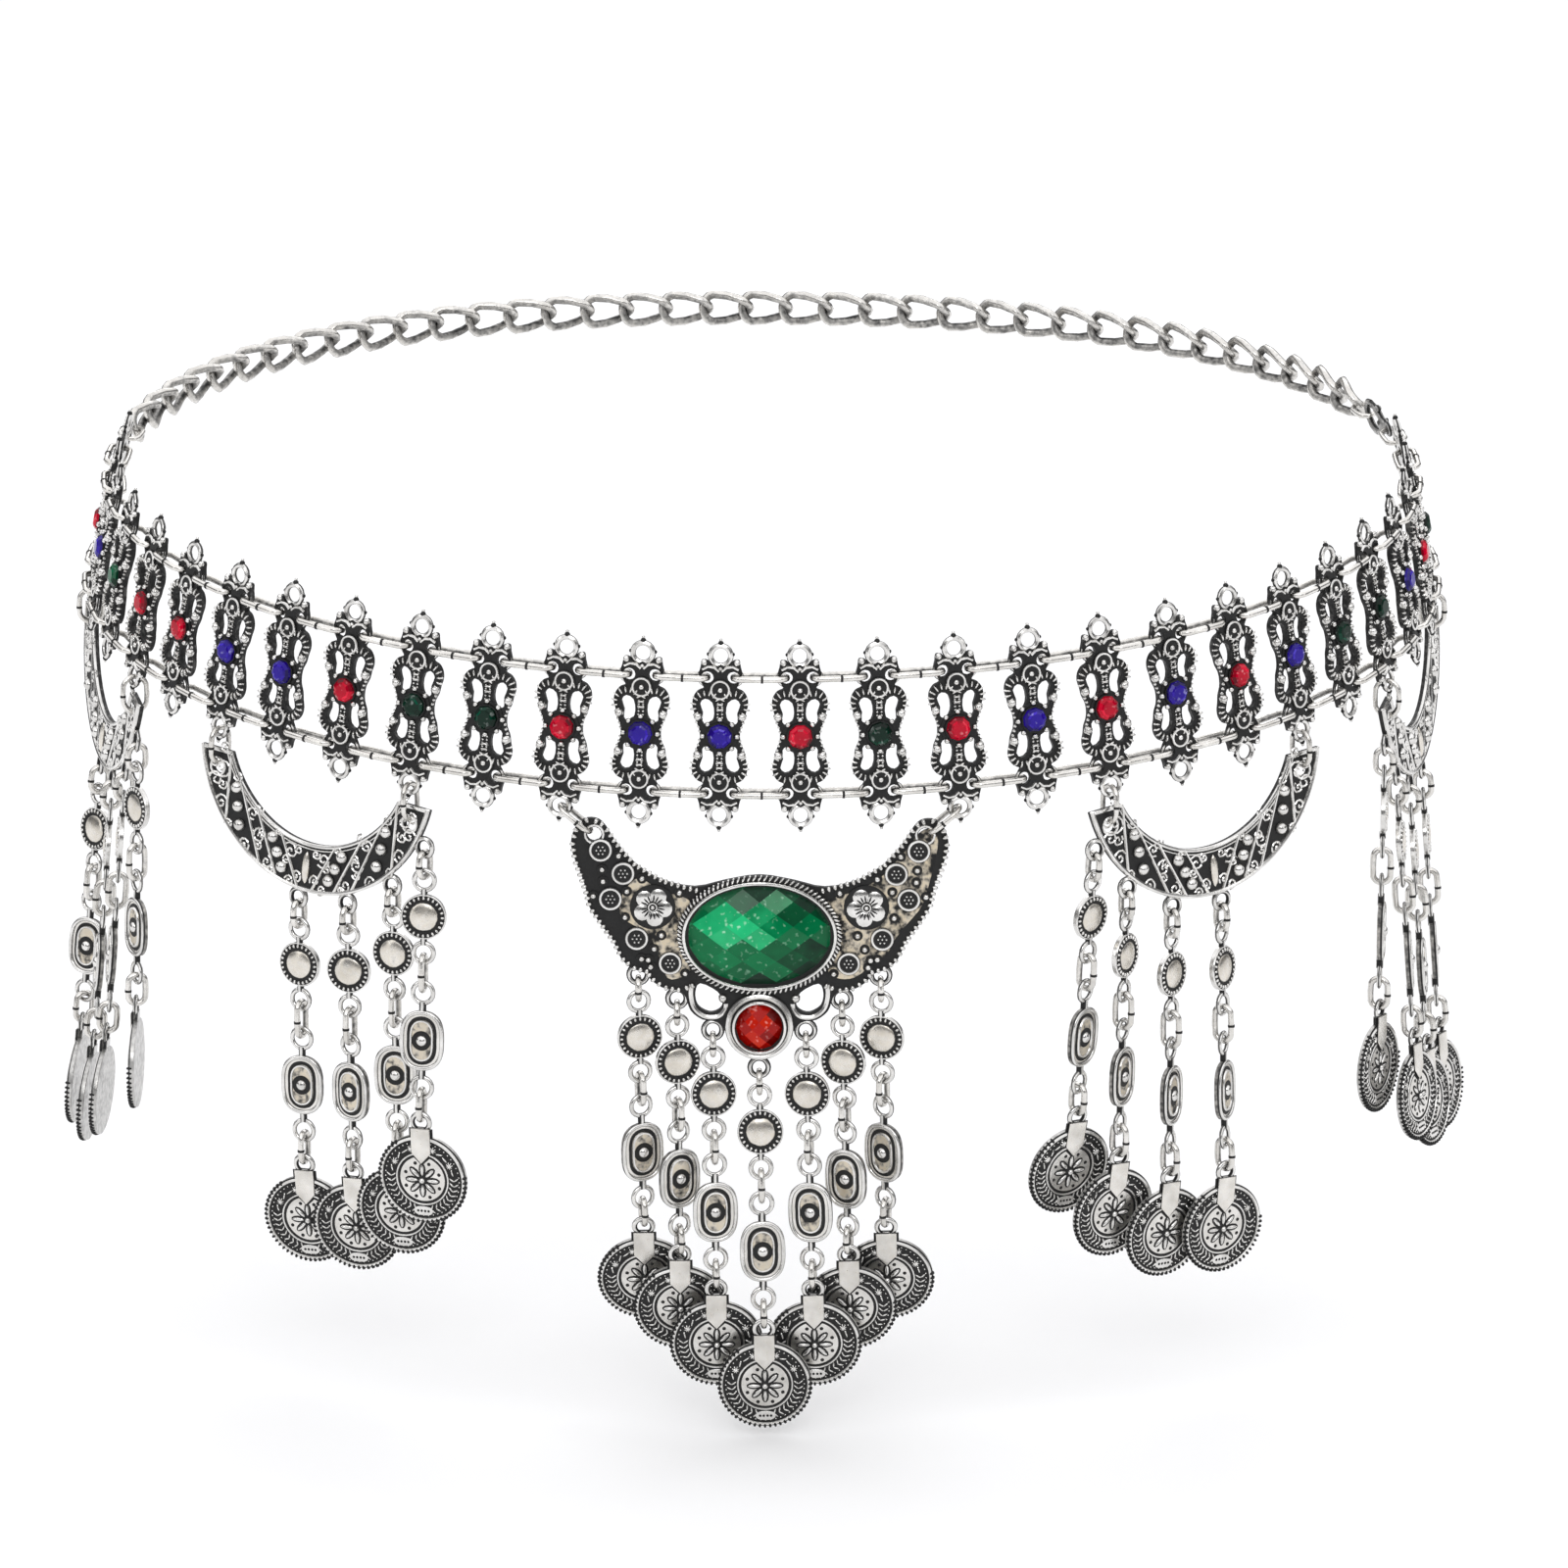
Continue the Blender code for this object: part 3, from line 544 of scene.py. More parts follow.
def ovalRing(length, halfWidth, wireRadius, seam=True):  # length between the centres of its two ends
    bpy.ops.mesh.primitive_torus_add(major_segments=20, minor_segments=8, major_radius=halfWidth,
                                     minor_radius=wireRadius)
    thing = bpy.context.object
    grow = length / 2 - halfWidth
    stretch(thing, lambda spot: spot.x > 0.01, (grow, 0, 0))
    stretch(thing, lambda spot: spot.x < -0.01, (-grow, 0, 0))
    half = Vector((length / 2 - halfWidth, 0, 0))

    def tone(spot):  # painted shade: the inner and outer sides of the wire are darker, and its faces are bright
        centre = half if spot.x > 0 else -half
        reach = ((spot - centre).xy.length - halfWidth) / wireRadius if abs(spot.x) > half.x else (
            (abs(spot.y) - halfWidth) / wireRadius)
        shade = 0.36 if reach < -0.8 else 0.66 if abs(reach) < 0.3 or reach < -0.5 else 1.0
        return shade if seam else 0.08 + shade * 0.58

    silvered(thing, tone, 0.12)
    if not seam:
        return thing
    cut = drum(0, 0, 0, wireRadius * 1.12, 0.5, 0.0, 10)
    cut.data.transform(Matrix.Translation((0.4, halfWidth, 0)) @ Matrix.Rotation(math.pi / 2, 4, "Y"))
    return merge("ring_pattern", [thing, cut], [silver], 60)


ringPatterns = {}


def ringPattern(length, halfWidth, wireRadius):
    key = (round(length * 5) / 5, halfWidth, wireRadius)
    if key not in ringPatterns:
        ringPatterns[key] = ovalRing(*key)
        ringPatterns[key].name = "ring_pattern"
    return ringPatterns[key]


def ringSpot(start, end, side, halfWidth, wireRadius, pull=0.0):  # pull: how far it sits in from each end
    run = (end - start).normalized()
    outward = (side - run * side.dot(run)).normalized()
    start, end = start + run * pull * mm, end - run * pull * mm
    source = ringPattern((end - start).length / mm, halfWidth, wireRadius)
    return source, inMillimetres(frameOf((start + end) / 2, run, outward))


def assemble(name, spots, body, nodeName):  # copies of patterns, joined as one piece
    made = []
    for source, place in spots:
        twin = source.copy()
        twin.data = source.data.copy()
        bpy.context.collection.objects.link(twin)
        twin.hide_render = False
        twin.data.transform(place)
        made.append(twin)
    pick(made)
    if len(made) > 1:
        bpy.ops.object.join()
    piece = bpy.context.view_layer.objects.active
    piece.name = name
    piece.data.name = name
    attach(piece, body)
    if nodeName:
        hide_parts(nodeName)
    return piece


# bars and their rings, in place

stoneRow = "RRBGRRBBRGGRBBRGRBRBRBGGBRGR"
deepBars = (10, 11, 16, 23, 24, 27)
stoneNames = {"R": "red_stone", "B": "blue_stone", "G": "green_stone"}


def barRing(number, sign):
    here, following = barFrame(number), barFrame(number + 1)
    height = sign * belt["shoulder"][1] * mm
    start = here @ Vector((belt["reach"], height, 0))
    end = following @ Vector((-belt["reach"], height, 0))
    side = here.col[2].xyz + following.col[2].xyz
    return ringSpot(start, end, side, belt["ringDepth"], belt["barWire"], -0.1)


def hangRing(number, name):
    row = pendants[name]
    side = -1 if number == row["bars"][0] else 1
    hole = pendantFrame(name) @ Vector((side * hang[row["kind"]]["holeX"] * mm, 0, 0))
    start = barEnd(number)
    end = hole + (start - hole).normalized() * belt["holeSlack"]
    normal = barFrame(number).col[2].xyz + pendantFrame(name).col[2].xyz
    return ringSpot(start, end, normal, belt["hangDepth"], belt["wire"], 0.2)


def layBars():
    pattern = barPattern()
    patternStones = {name: cutStone(name, 2.62, 1.5) for name in ("red_stone", "blue_stone", "green_stone", "deep_stone")}
    for name, stone in patternStones.items():
        stone.data.materials.append(stones[name])
    for number in range(1, belt["bars"] + 1):
        place = barFrame(number)
        spots = [(pattern, inMillimetres(place))]
        if number < belt["bars"]:
            spots += [barRing(number, sign) for sign in (1, -1)]
        for name, row in pendants.items():
            if number in row["bars"]:
                spots.append(hangRing(number, name))
        assemble(f"bar_{number:02d}_dressed", spots, "belt", f"bar_{number:02d}")
        letter = stoneRow[number - 1]
        stoneName = "deep_stone" if number in deepBars else stoneNames[letter]
        turned = place @ Matrix.Translation((0, 0, 1.15 * mm)) @ Matrix.Rotation(number * 1.7, 4, "Z")
        stone = [(patternStones[stoneName], inMillimetres(turned))]
        assemble(f"stone_{number:02d}", stone, "belt", None)
    print("bars, rings and small stones in place")
    return [pattern, *patternStones.values()]


patterns = layBars()


# the half-moons

moonLook = {
    "outer": (30.5, 9.5), "inner": (23.8, 13.3), "hornTop": 4.0, "thickness": 1.2, "loops": (-3, 20, 43, 65),
    "lines": ((18, 3), (36, 14), (53, 23), (67, 46)), "ballBands": ((27, 8.5), (60, 34.5)), "loopOut": 1.9,
    "scrolls": ((10, 9, 0.3, 0.85), (12, 3, 0.75, 0.6), (44, 20, 0.25, 0.7), (46, 18, 0.55, 0.8), (42, 18, 0.85, 0.7),
                (70, 58, 0.42, 1.0), (73, 60, 0.75, 0.9), (66, 52, 0.85, 0.8), (36, 10, 0.04, 0.6), (57, 28, 0.06, 0.6),
                (25, 7, 0.92, 0.55), (58, 33, 0.93, 0.7), (8, 14, 0.5, 0.5), (5, 6, 0.2, 0.5), (47, 22, 0.72, 0.5),
                (40, 16, 0.42, 0.5), (45, 17, 0.94, 0.45), (74, 62, 0.2, 0.6), (69, 54, 0.62, 0.6), (75, 66, 0.6, 0.6),
                (62, 44, 0.94, 0.5), (21, 5, 0.1, 0.4)),
}


def moonSpot(innerTurn, outerTurn, share):
    (outerR, outerY), (innerR, innerY) = moonLook["outer"], moonLook["inner"]
    a, b = math.radians(innerTurn), math.radians(outerTurn)
    start = Vector((innerR * math.sin(a), innerY - innerR * math.cos(a)))
    end = Vector((outerR * math.sin(b), outerY - outerR * math.cos(b)))
    return start.lerp(end, share)


def scrollPath(size, hand=1):
    found = []
    for i in range(15):
        turn = i * 0.62
        reach = size * (0.12 + 0.088 * i)
        found.append((reach * math.cos(turn), hand * reach * math.sin(turn)))
    return found


def moonPattern(side):
    (outerR, outerY), (innerR, innerY) = moonLook["outer"], moonLook["inner"]
    top = moonLook["thickness"] / 2
    horn = math.degrees(math.acos((outerY - moonLook["hornTop"]) / outerR))
    tip = math.degrees(math.acos((innerY - moonLook["hornTop"]) / innerR))
    outer = arc(0, outerY, outerR, -horn, horn, 56)
    inner = arc(0, innerY, innerR, tip, -tip, 44)
    holes = [circle(sx * 25.3, 0, 1.5, 14) for sx in (1, -1)]
    parts = [sheet(outer + inner, holes, moonLook["thickness"])]
    parts.append(wire(arc(0, outerY, outerR - 0.4, -horn, horn, 56), 0.5, z=top, sides=2))
    parts.append(wire(arc(0, innerY, innerR + 0.3, tip, -tip, 44), 0.42, z=top, sides=2))
    parts.append(wire(arc(0, innerY, innerR + 1.2, tip, -tip, 44), 0.16, z=top + 0.05, tone=0.85, sides=1))
    for sx in (1, -1):
        parts.append(wire([(sx * 29.8, 3.7), (sx * 21.9, 3.7)], 0.42, z=top, sides=2))
        parts.append(hoop(sx * 25.3, 0, top - 0.15, 1.85, 0.38, 0.8, segments=16, sides=6))
        for innerTurn, outerTurn in moonLook["lines"]:
            ends = [moonSpot(sx * innerTurn, sx * outerTurn, share) for share in (0.02, 0.98)]
            parts.append(wire([tuple(spot) for spot in ends], 0.32, z=top + 0.1))
        for innerTurn, outerTurn in moonLook["ballBands"]:
            for share in (0.27, 0.50, 0.73):
                spot = moonSpot(sx * innerTurn, sx * outerTurn, share)
                parts.append(ball(spot.x, spot.y, top + 0.1, 1.32, lambda s: 1.0 if s.z > top + 0.5 else 0.1,
                                  segments=14, rings=10))
        for i, (innerTurn, outerTurn, share, size) in enumerate(moonLook["scrolls"]):
            spot = moonSpot(sx * innerTurn, sx * outerTurn, share)
            curl = wire(scrollPath(size * 1.65, sx if i % 2 else -sx), 0.25, z=top + 0.08, tone=0.95, sides=0)
            curl.data.transform(Matrix.Translation((spot.x, spot.y, 0)) @ Matrix.Rotation(i * 1.3, 4, "Z"))
            parts.append(curl)
    parts.append(ball(0, -15.9, top + 0.05, 3.5, 0.9, (0.27, 1, 0.22), 0, 12, 10, 0.4))
    for turn in moonLook["loops"]:
        a = math.radians(turn)
        reach = outerR + moonLook["loopOut"]
        x, y = side * reach * math.sin(a), outerY - reach * math.cos(a)
        parts.append(hoop(x, y, 0, 1.9, 0.56, eyeTone(x, y, 1.9)))
    return merge("moon_pattern", parts, [silver])


moonLoops = [(math.radians(turn), moonLook["outer"][0] + moonLook["loopOut"]) for turn in moonLook["loops"]]


def layMoons():
    made = {side: moonPattern(side) for side in (1, -1)}
    for name, row in pendants.items():
        if row["kind"] == "crescent":
            spots = [(made[row["side"]], inMillimetres(pendantFrame(name)))]
            assemble(f"{name}_moon", spots, f"{name}_pendant", f"{name}_crescent")
    print("half-moons in place")
    return list(made.values())


patterns += layMoons()


# the winged centre

centreLook = {
    "edge": ((0, -8.6), (7, -9.7), (13.4, -11.1), (20.3, -9.6), (25.6, -6.2), (29.6, -1.6), (32.2, 2.4), (34.6, 3.4),
             (37.0, 2.6), (38.6, -0.4), (38.6, -3.6), (37.1, -7.6), (35.8, -11.4), (35.2, -15.1), (32.9, -18.9),
             (30.4, -22.2), (28.6, -26.2), (26.4, -28.4), (23.8, -29.4), (21.8, -31.4), (19.4, -32.8), (16.6, -33.2),
             (15.2, -34.6), (14.2, -37.4), (11.8, -39.3), (8.6, -39.9), (6.9, -42.0), (5.0, -45.4), (2.4, -47.3),
             (0, -47.7)),
    "opening": ((12.2, -31.6), (13.2, -33.6), (12.7, -36.3), (10.4, -37.7), (8.4, -37.2), (7.6, -35.8), (8.6, -33.4)),
    "loops": ((25.0, -29.8), (17.0, -34.9), (9.6, -41.6), (0, -49.6)),
    "rosettes": ((32.7, -3.3), (28.1, -8.2), (30.7, -13.6), (25.3, -22.0), (18.4, -27.2)),
    "flower": (22.0, -15.3), "petals": (118, 46, -28, -100, 190),
    "studs": ((29.0, -4.5), (32.4, -7.4), (32.2, -9.9), (27.3, -12.0), (24.2, -9.3), (16.5, -12.3), (27.7, -17.5),
              (20.2, -21.3), (21.7, -24.2), (24.3, -26.3), (22.9, -26.5), (22.4, -28.0), (15.3, -29.4), (34.2, -13.0)),
    "border": ((13.2, -12.6), (20.3, -10.5), (26.2, -7.0), (30.2, -2.3), (32.5, 1.3), (34.8, 2.5), (36.8, 1.4),
               (37.7, -1.8), (37.2, -5.4), (36.1, -8.6), (34.9, -12.2), (34.3, -15.0), (31.8, -18.8), (29.4, -22.3),
               (27.7, -25.8), (25.6, -27.6), (23.0, -28.3), (21.2, -30.4), (19.2, -31.7), (16.5, -32.2), (13.8, -31.2)),
    "rightGround": ((35.2, 1.4), (36.6, -0.8), (36.2, -4.5), (34.8, -10.5), (33.4, -15.0), (30.4, -18.8), (27.8, -22.2),
                    (26.0, -25.6), (23.2, -26.9), (21.2, -29.2), (18.6, -30.5), (15.6, -30.2), (14.2, -28.6),
                    (16.4, -24.4), (16.0, -19.0), (14.2, -14.6), (16.4, -12.8), (20.6, -11.6), (25.4, -8.4), (29.8, -3.4),
                    (32.8, 0.6)),
    "ground": ((24.6, -9.2), (20.4, -11.9), (16.2, -13.0), (14.2, -14.6), (16.0, -19.0), (16.4, -24.4), (14.2, -28.6),
               (16.0, -30.2), (19.0, -30.4), (20.9, -25.4), (22.8, -21.2), (26.0, -19.2), (28.6, -17.2), (28.6, -13.6),
               (27.2, -11.0)),
    "strip": ((13.6, -30.0), (14.0, -31.8), (14.1, -34.4), (13.3, -37.0), (11.2, -38.6), (8.6, -38.6), (7.1, -37.1),
              (6.9, -35.6), (7.2, -34.0)),
}
greenLook = {"halfWidth": 15.2, "halfHeight": 10.8, "y": -21.1, "height": 4.0, "facets": 9}
redLook = {"radius": 5.0, "y": -40.6, "height": 3.0, "facets": 7}


def ellipse(halfWidth, halfHeight, y, sides, start=0.0):
    return [(halfWidth * math.cos(a), y + halfHeight * math.sin(a))
            for a in (start + 2 * math.pi * i / sides for i in range(sides))]


def centrePattern():
    top = 0.7
    right = list(centreLook["edge"])
    outline = rounded(right + [(-x, y) for x, y in reversed(right) if x != 0], 3)
    holes = []
    for sx in (1, -1):
        holes.append(circle(sx * 34, 0, 1.5, 14))
        holes.append(rounded([(sx * x, y) for x, y in centreLook["opening"]], 3))
    flowerX, flowerY = centreLook["flower"]
    parts = [sheet(outline, holes, 1.4)]
    patches, dots, studs, rims, strokes = [], [], [], [], []
    for sx in (1, -1):
        patch = rounded([(sx * x, y) for x, y in centreLook["rightGround" if sx == 1 else "ground"]], 3)
        patches.append(sheet(patch, [], 0.24, top, 0.1, 0.5, 0.1, 0.1, 0.95))
        for x, y in centreLook["rosettes"]:
            parts.append(drum(sx * x, y, top + 0.2, 2.45, 0.5, 0.0, 22))
            parts.append(hoop(sx * x, y, top + 0.4, 2.1, 0.38, segments=24, sides=6))
            dots.append((sx * x, y, top + 0.45, 0))
            dots += [(sx * x + 0.85 * math.cos(a), y + 0.85 * math.sin(a), top + 0.45, 0)
                     for a in (math.pi / 3 * i for i in range(6))]
        parts.append(drum(sx * flowerX, flowerY, top + 0.1, 4.7, 0.5, 0.0, 5 * 6))
        for petal in centreLook["petals"]:
            turn = math.radians(petal if sx == 1 else 180 - petal)
            x, y = sx * flowerX + 2.5 * math.cos(turn), flowerY + 2.5 * math.sin(turn)
            parts.append(ball(x, y, top + 0.32, 1.75, 1.0, (0.94, 1.0, 0.24), turn, 12, 7))
            for spread in (-21, 0, 21):
                a = turn + math.radians(spread)
                strokes.append((sx * flowerX + 1.9 * math.cos(a), flowerY + 1.9 * math.sin(a), top + 0.68, a))
        parts.append(hoop(sx * flowerX, flowerY, top + 0.7, 0.85, 0.2, segments=14, sides=6))
        parts.append(ball(sx * flowerX, flowerY, top + 0.75, 0.5))
        studs += [(sx * x, y, top + 0.4, 0) for x, y in centreLook["studs"]]
        rims += [(sx * x, y, top + 0.14, 0) for x, y in centreLook["studs"]]
        border = spaced([(sx * x, y) for x, y in centreLook["border"]], 1.32)
        out = [(x - sx * 0.75 * math.sin(a), y + sx * 0.75 * math.cos(a), top + 0.15, a) for x, y, a in border]
        parts += repeat(ball(0, 0, 0, 0.56, 1.0, (0.85, 1.25, 1), segments=8, rings=5), out)
        parts.append(wire([(sx * x, y) for x, y in flowing(centreLook["strip"], 5)], 0.62, z=0.3, tone=0.95, sides=2))
        parts.append(ball(sx * 7.5, -34.7, 0.5, 1.05, 0.97))
        parts.append(hoop(sx * 34, 0, top - 0.1, 1.9, 0.36, 0.7, segments=16, sides=6))
        for x, y in centreLook["loops"]:
            if x or sx == 1:
                parts.append(hoop(sx * x, y, 0, 1.9, 0.58, eyeTone(sx * x, y, 1.9)))
    parts += patches
    parts += repeat(ball(0, 0, 0, 0.27, 0.9, segments=6, rings=4), dots)
    parts += repeat(ball(0, 0, 0, 0.66, 1.0, segments=8, rings=5), studs)
    parts += repeat(drum(0, 0, 0, 1.08, 0.3, 0.0, 12), rims)
    parts += repeat(ball(0, 0, 0, 0.8, 0.0, (1, 0.25, 0.32), segments=6, rings=4), strokes)
    wide, tall, y = greenLook["halfWidth"], greenLook["halfHeight"], greenLook["y"]
    parts.append(sheet(ellipse(wide + 1.7, tall + 1.7, y, 64), [ellipse(wide - 0.6, tall - 0.6, y, 56)], 1.1, 1.0,
                       0.15, 0.03, 0.05))
    parts.append(sheet(ellipse(wide + 0.75, tall + 0.75, y, 64), [ellipse(wide + 0.1, tall + 0.1, y, 64)], 2.6, 1.7,
                       0.2, 1.0, 0.95))
    rope = []
    for i in range(92):
        a = 2 * math.pi * i / 92
        x, ry = (wide + 1.3) * math.cos(a), y + (tall + 1.3) * math.sin(a)
        slope = math.atan2((tall + 1.3) * math.cos(a), -(wide + 1.3) * math.sin(a))
        rope.append((x, ry, 1.55, slope + math.radians(58)))
    parts += repeat(ball(0, 0, 0, 0.85, 0.97, (1, 0.34, 0.6), segments=6, rings=4), rope)
    y = redLook["y"]
    parts.append(sheet(circle(0, y, 7.0, 44), [circle(0, y, 4.6, 32)], 1.0, 0.9, 0.15, 0.02, 0.4))
    parts.append(hoop(0, y, 1.2, 6.45, 0.66, 0.98, 0.9, 48, 8))
    parts.append(sheet(circle(0, y, 5.6, 44), [circle(0, y, 5.05, 44)], 2.4, 1.6, 0.16, 1.0, 0.95))
    return merge("centre_pattern", parts, [silver])


def checkerStone(name, halfWidth, halfHeight, height, count, base, seed):
    bpy.ops.mesh.primitive_grid_add(x_subdivisions=count, y_subdivisions=count, size=2.9, rotation=(0, 0, math.pi / 4))
    dome = settle(bpy.context.object)
    for corner in dome.data.vertices:
        reach = corner.co.x ** 2 + corner.co.y ** 2
        corner.co.z = height * (1 - min(reach, 1.6) * 0.9)
    pick([dome])
    bpy.ops.object.mode_set(mode="EDIT")
    bpy.ops.mesh.select_all(action="SELECT")
    bpy.ops.mesh.extrude_region_move(TRANSFORM_OT_translate={"value": (0, 0, -6)})
    bpy.ops.mesh.select_all(action="SELECT")
    bpy.ops.mesh.normals_make_consistent(inside=False)
    bpy.ops.object.mode_set(mode="OBJECT")
    dome.data.transform(Matrix.Diagonal((halfWidth, halfHeight, 1, 1)))
    bpy.ops.mesh.primitive_cylinder_add(vertices=48, radius=1, depth=12, location=(0, 0, base + 6))
    girdle = settle(bpy.context.object)
    girdle.data.transform(Matrix.Diagonal((halfWidth, halfHeight, 1, 1)))
    pick([dome])
    trim = dome.modifiers.new("trim", "BOOLEAN")
    trim.operation = "INTERSECT"
    trim.object = girdle
    trim.solver = "EXACT"
    bpy.ops.object.modifier_apply(modifier=trim.name)
    bpy.data.objects.remove(girdle, do_unlink=True)
    dome.name = name
    facets(dome, seed, (-0.25, 0.08))
    return dome


def layCentre():
    place = pendantFrame("centre")
    pattern = centrePattern()
    assemble("centre_winged", [(pattern, inMillimetres(place))], "centre_pendant", "centre_casting")
    green = checkerStone("emerald", greenLook["halfWidth"], greenLook["halfHeight"], greenLook["height"],
                         greenLook["facets"], 0.2, 3)
    green.data.materials.append(stones["emerald"])
    red = checkerStone("carnelian", redLook["radius"], redLook["radius"], redLook["height"], redLook["facets"], 0.2, 8)
    red.data.materials.append(stones["carnelian"])
    for gem, look, cad, slot in ((green, greenLook, "green_gem", "green_stone"), (red, redLook, "red_gem", "red_stone")):
        seat = place @ Matrix.Translation((0, look["y"] * mm, 1.0 * mm))
        assemble(cad + "_cut", [(gem, inMillimetres(seat))], "centre_pendant", cad)
    print("centre and its stones in place")
    return [pattern, green, red]


patterns += layCentre()


# coin strands

strandLook = {"disc": -13.6, "link": -38.9, "bail": -55.4, "drop": 12.6, "discEye": 7.7, "linkEye": 10.1,
              "ringInEye": -0.6, "ringDepth": 1.9, "slack": 1.0, "wire": 0.67, "pull": 0.55}
strandColumns = ("disc", "link", "coin", "lean", "swing", "tilt")
strands = {
    "far_left": (
        (-45, -30, -97, 5, 0, 0), (-85, -80, -97, 5, 0, 0), (-85, -80, -97, 5, 0, 0), (-55, -60, -92, 1, 0, 0),
    ),
    "left": (
        (-28, -20, -18, -1, 0, 8), (-16, -36, -18, -1, 0, 8), (-24, -15, -18, -1, 0, 8), (-8, -12, -18, 2, 0, 8),
    ),
    "centre": (
        (16, 26, 0, -4.2, 1.0, 12), (16, 30, 0, -1.4, 0.6, 12), (7, 10, 0, 1.4, 0.8, 12), (2, 4, 0, 4.2, 1.2, 12),
        (-9, -14, 0, 1.4, 1.8, 12), (-16, -28, 0, -1.4, 1.8, 12), (-16, -38, 0, -4.2, 1.6, 12),
    ),
    "right": (
        (58, 66, 31, 2.9, 0, 8), (53, 64, 31, 0.7, 0, 8), (58, 60, 31, -1.5, 0, 8), (46, 53, 31, -5, 0, 8),
    ),
    "far_right": (
        (84, 86, 61, 5, 0, 0), (84, 80, 61, 5, 0, 0), (80, 84, 61, 5, 0, 0), (86, 82, 61, 0, 0, 0),
    ),
}


def eye(y, radius=2.12, wireRadius=0.52):
    return hoop(0, y, 0, radius, wireRadius, eyeTone(0, y, radius), 0.95)


def discPattern():
    parts = [drum(0, 0, 0, 4.75, 1.1, lambda s: 0.05 if s.z > 0.5 else 0.75, 40, 0.12)]
    ticks = []
    for i in range(24):
        a = 2 * math.pi * i / 24
        ticks.append((3.98 * math.cos(a), 3.98 * math.sin(a), 0.6, a))
    parts += repeat(ball(0, 0, 0, 0.44, 1.0, (1.1, 0.8, 1), segments=6, rings=4), ticks)
    parts.append(hoop(0, 0, 0.42, 4.6, 0.2, lambda s: 0.95, segments=36, sides=6))
    parts.append(ball(0, 0, 0.42, 3.15, lambda s: 0.86 if s.z > 0.62 else 0.2, (1, 1, 0.24), 0, 24, 12, 0.4))
    parts += [eye(7.7), eye(-7.7)]
    for sy in (1, -1):
        # painted shade: the neck's left and right sides are darker than its face
        parts.append(wire([(0, sy * 4.4), (0, sy * 5.9)], 0.72, tone=lambda s: 0.1 if abs(s.x) > 0.4 else 0.9, sides=2))
    return merge("disc_pattern", parts, [silver], 50)


linkOutline = ((0, 6.3), (2.1, 5.9), (3.7, 4.6), (4.45, 2.6), (4.6, 0))
linkInner = ((0, 4.5), (1.4, 4.1), (2.3, 3.0), (2.6, 1.5), (2.6, 0))


def linkPattern():
    parts = [sheet(rounded(fourfold(linkOutline), 3), [], 1.1, 0, 0.2, 0.8, 0.4, 0.7, 0.15)]
    rim = rounded(fourfold([(x * 0.93, y * 0.95) for x, y in linkOutline]), 3)
    parts.append(wire(rim, 0.46, True, lambda s: 1.0 if s.z > 0.6 else 0.15, 0.55, 2))
    parts.append(sheet(rounded(fourfold([(x * 1.23, y * 1.15) for x, y in linkInner]), 3), [], 0.3, 0.5, 0.1, 0.0, 0.0))
    parts.append(sheet(rounded(fourfold(linkInner), 3), [], 0.6, 0.5, 0.2, 0.62, 0.3, 0.9, 0.75))
    parts.append(wire(rounded(fourfold([(x * 0.88, y * 0.93) for x, y in linkInner]), 3), 0.3, True, 1.0, 0.76, 1))
    parts.append(drum(0, 0, 0.8, 2.1, 0.14, 0.0, 24))
    parts.append(ball(0, 0, 0.78, 1.2, 1.0, (1, 1, 0.7), 0, 14, 8))
    parts += [eye(10.1, 2.2, 0.5), eye(-10.1, 2.2, 0.5)]
    for sy in (1, -1):
        # painted shade: the neck's left and right sides are darker than its face
        parts.append(wire([(0, sy * 5.6), (0, sy * 8.2)], 0.78, tone=lambda s: 0.1 if abs(s.x) > 0.4 else 0.9, sides=2))
    return merge("link_pattern", parts, [silver], 50)


coinLook = {
    "radius": 9.7, "innerRing": 5.7, "leaves": 9,
    "strap": ((2.15, -1.2), (2.15, -6.7), (0, -9.1), (-2.15, -6.7), (-2.15, -1.2)),
}


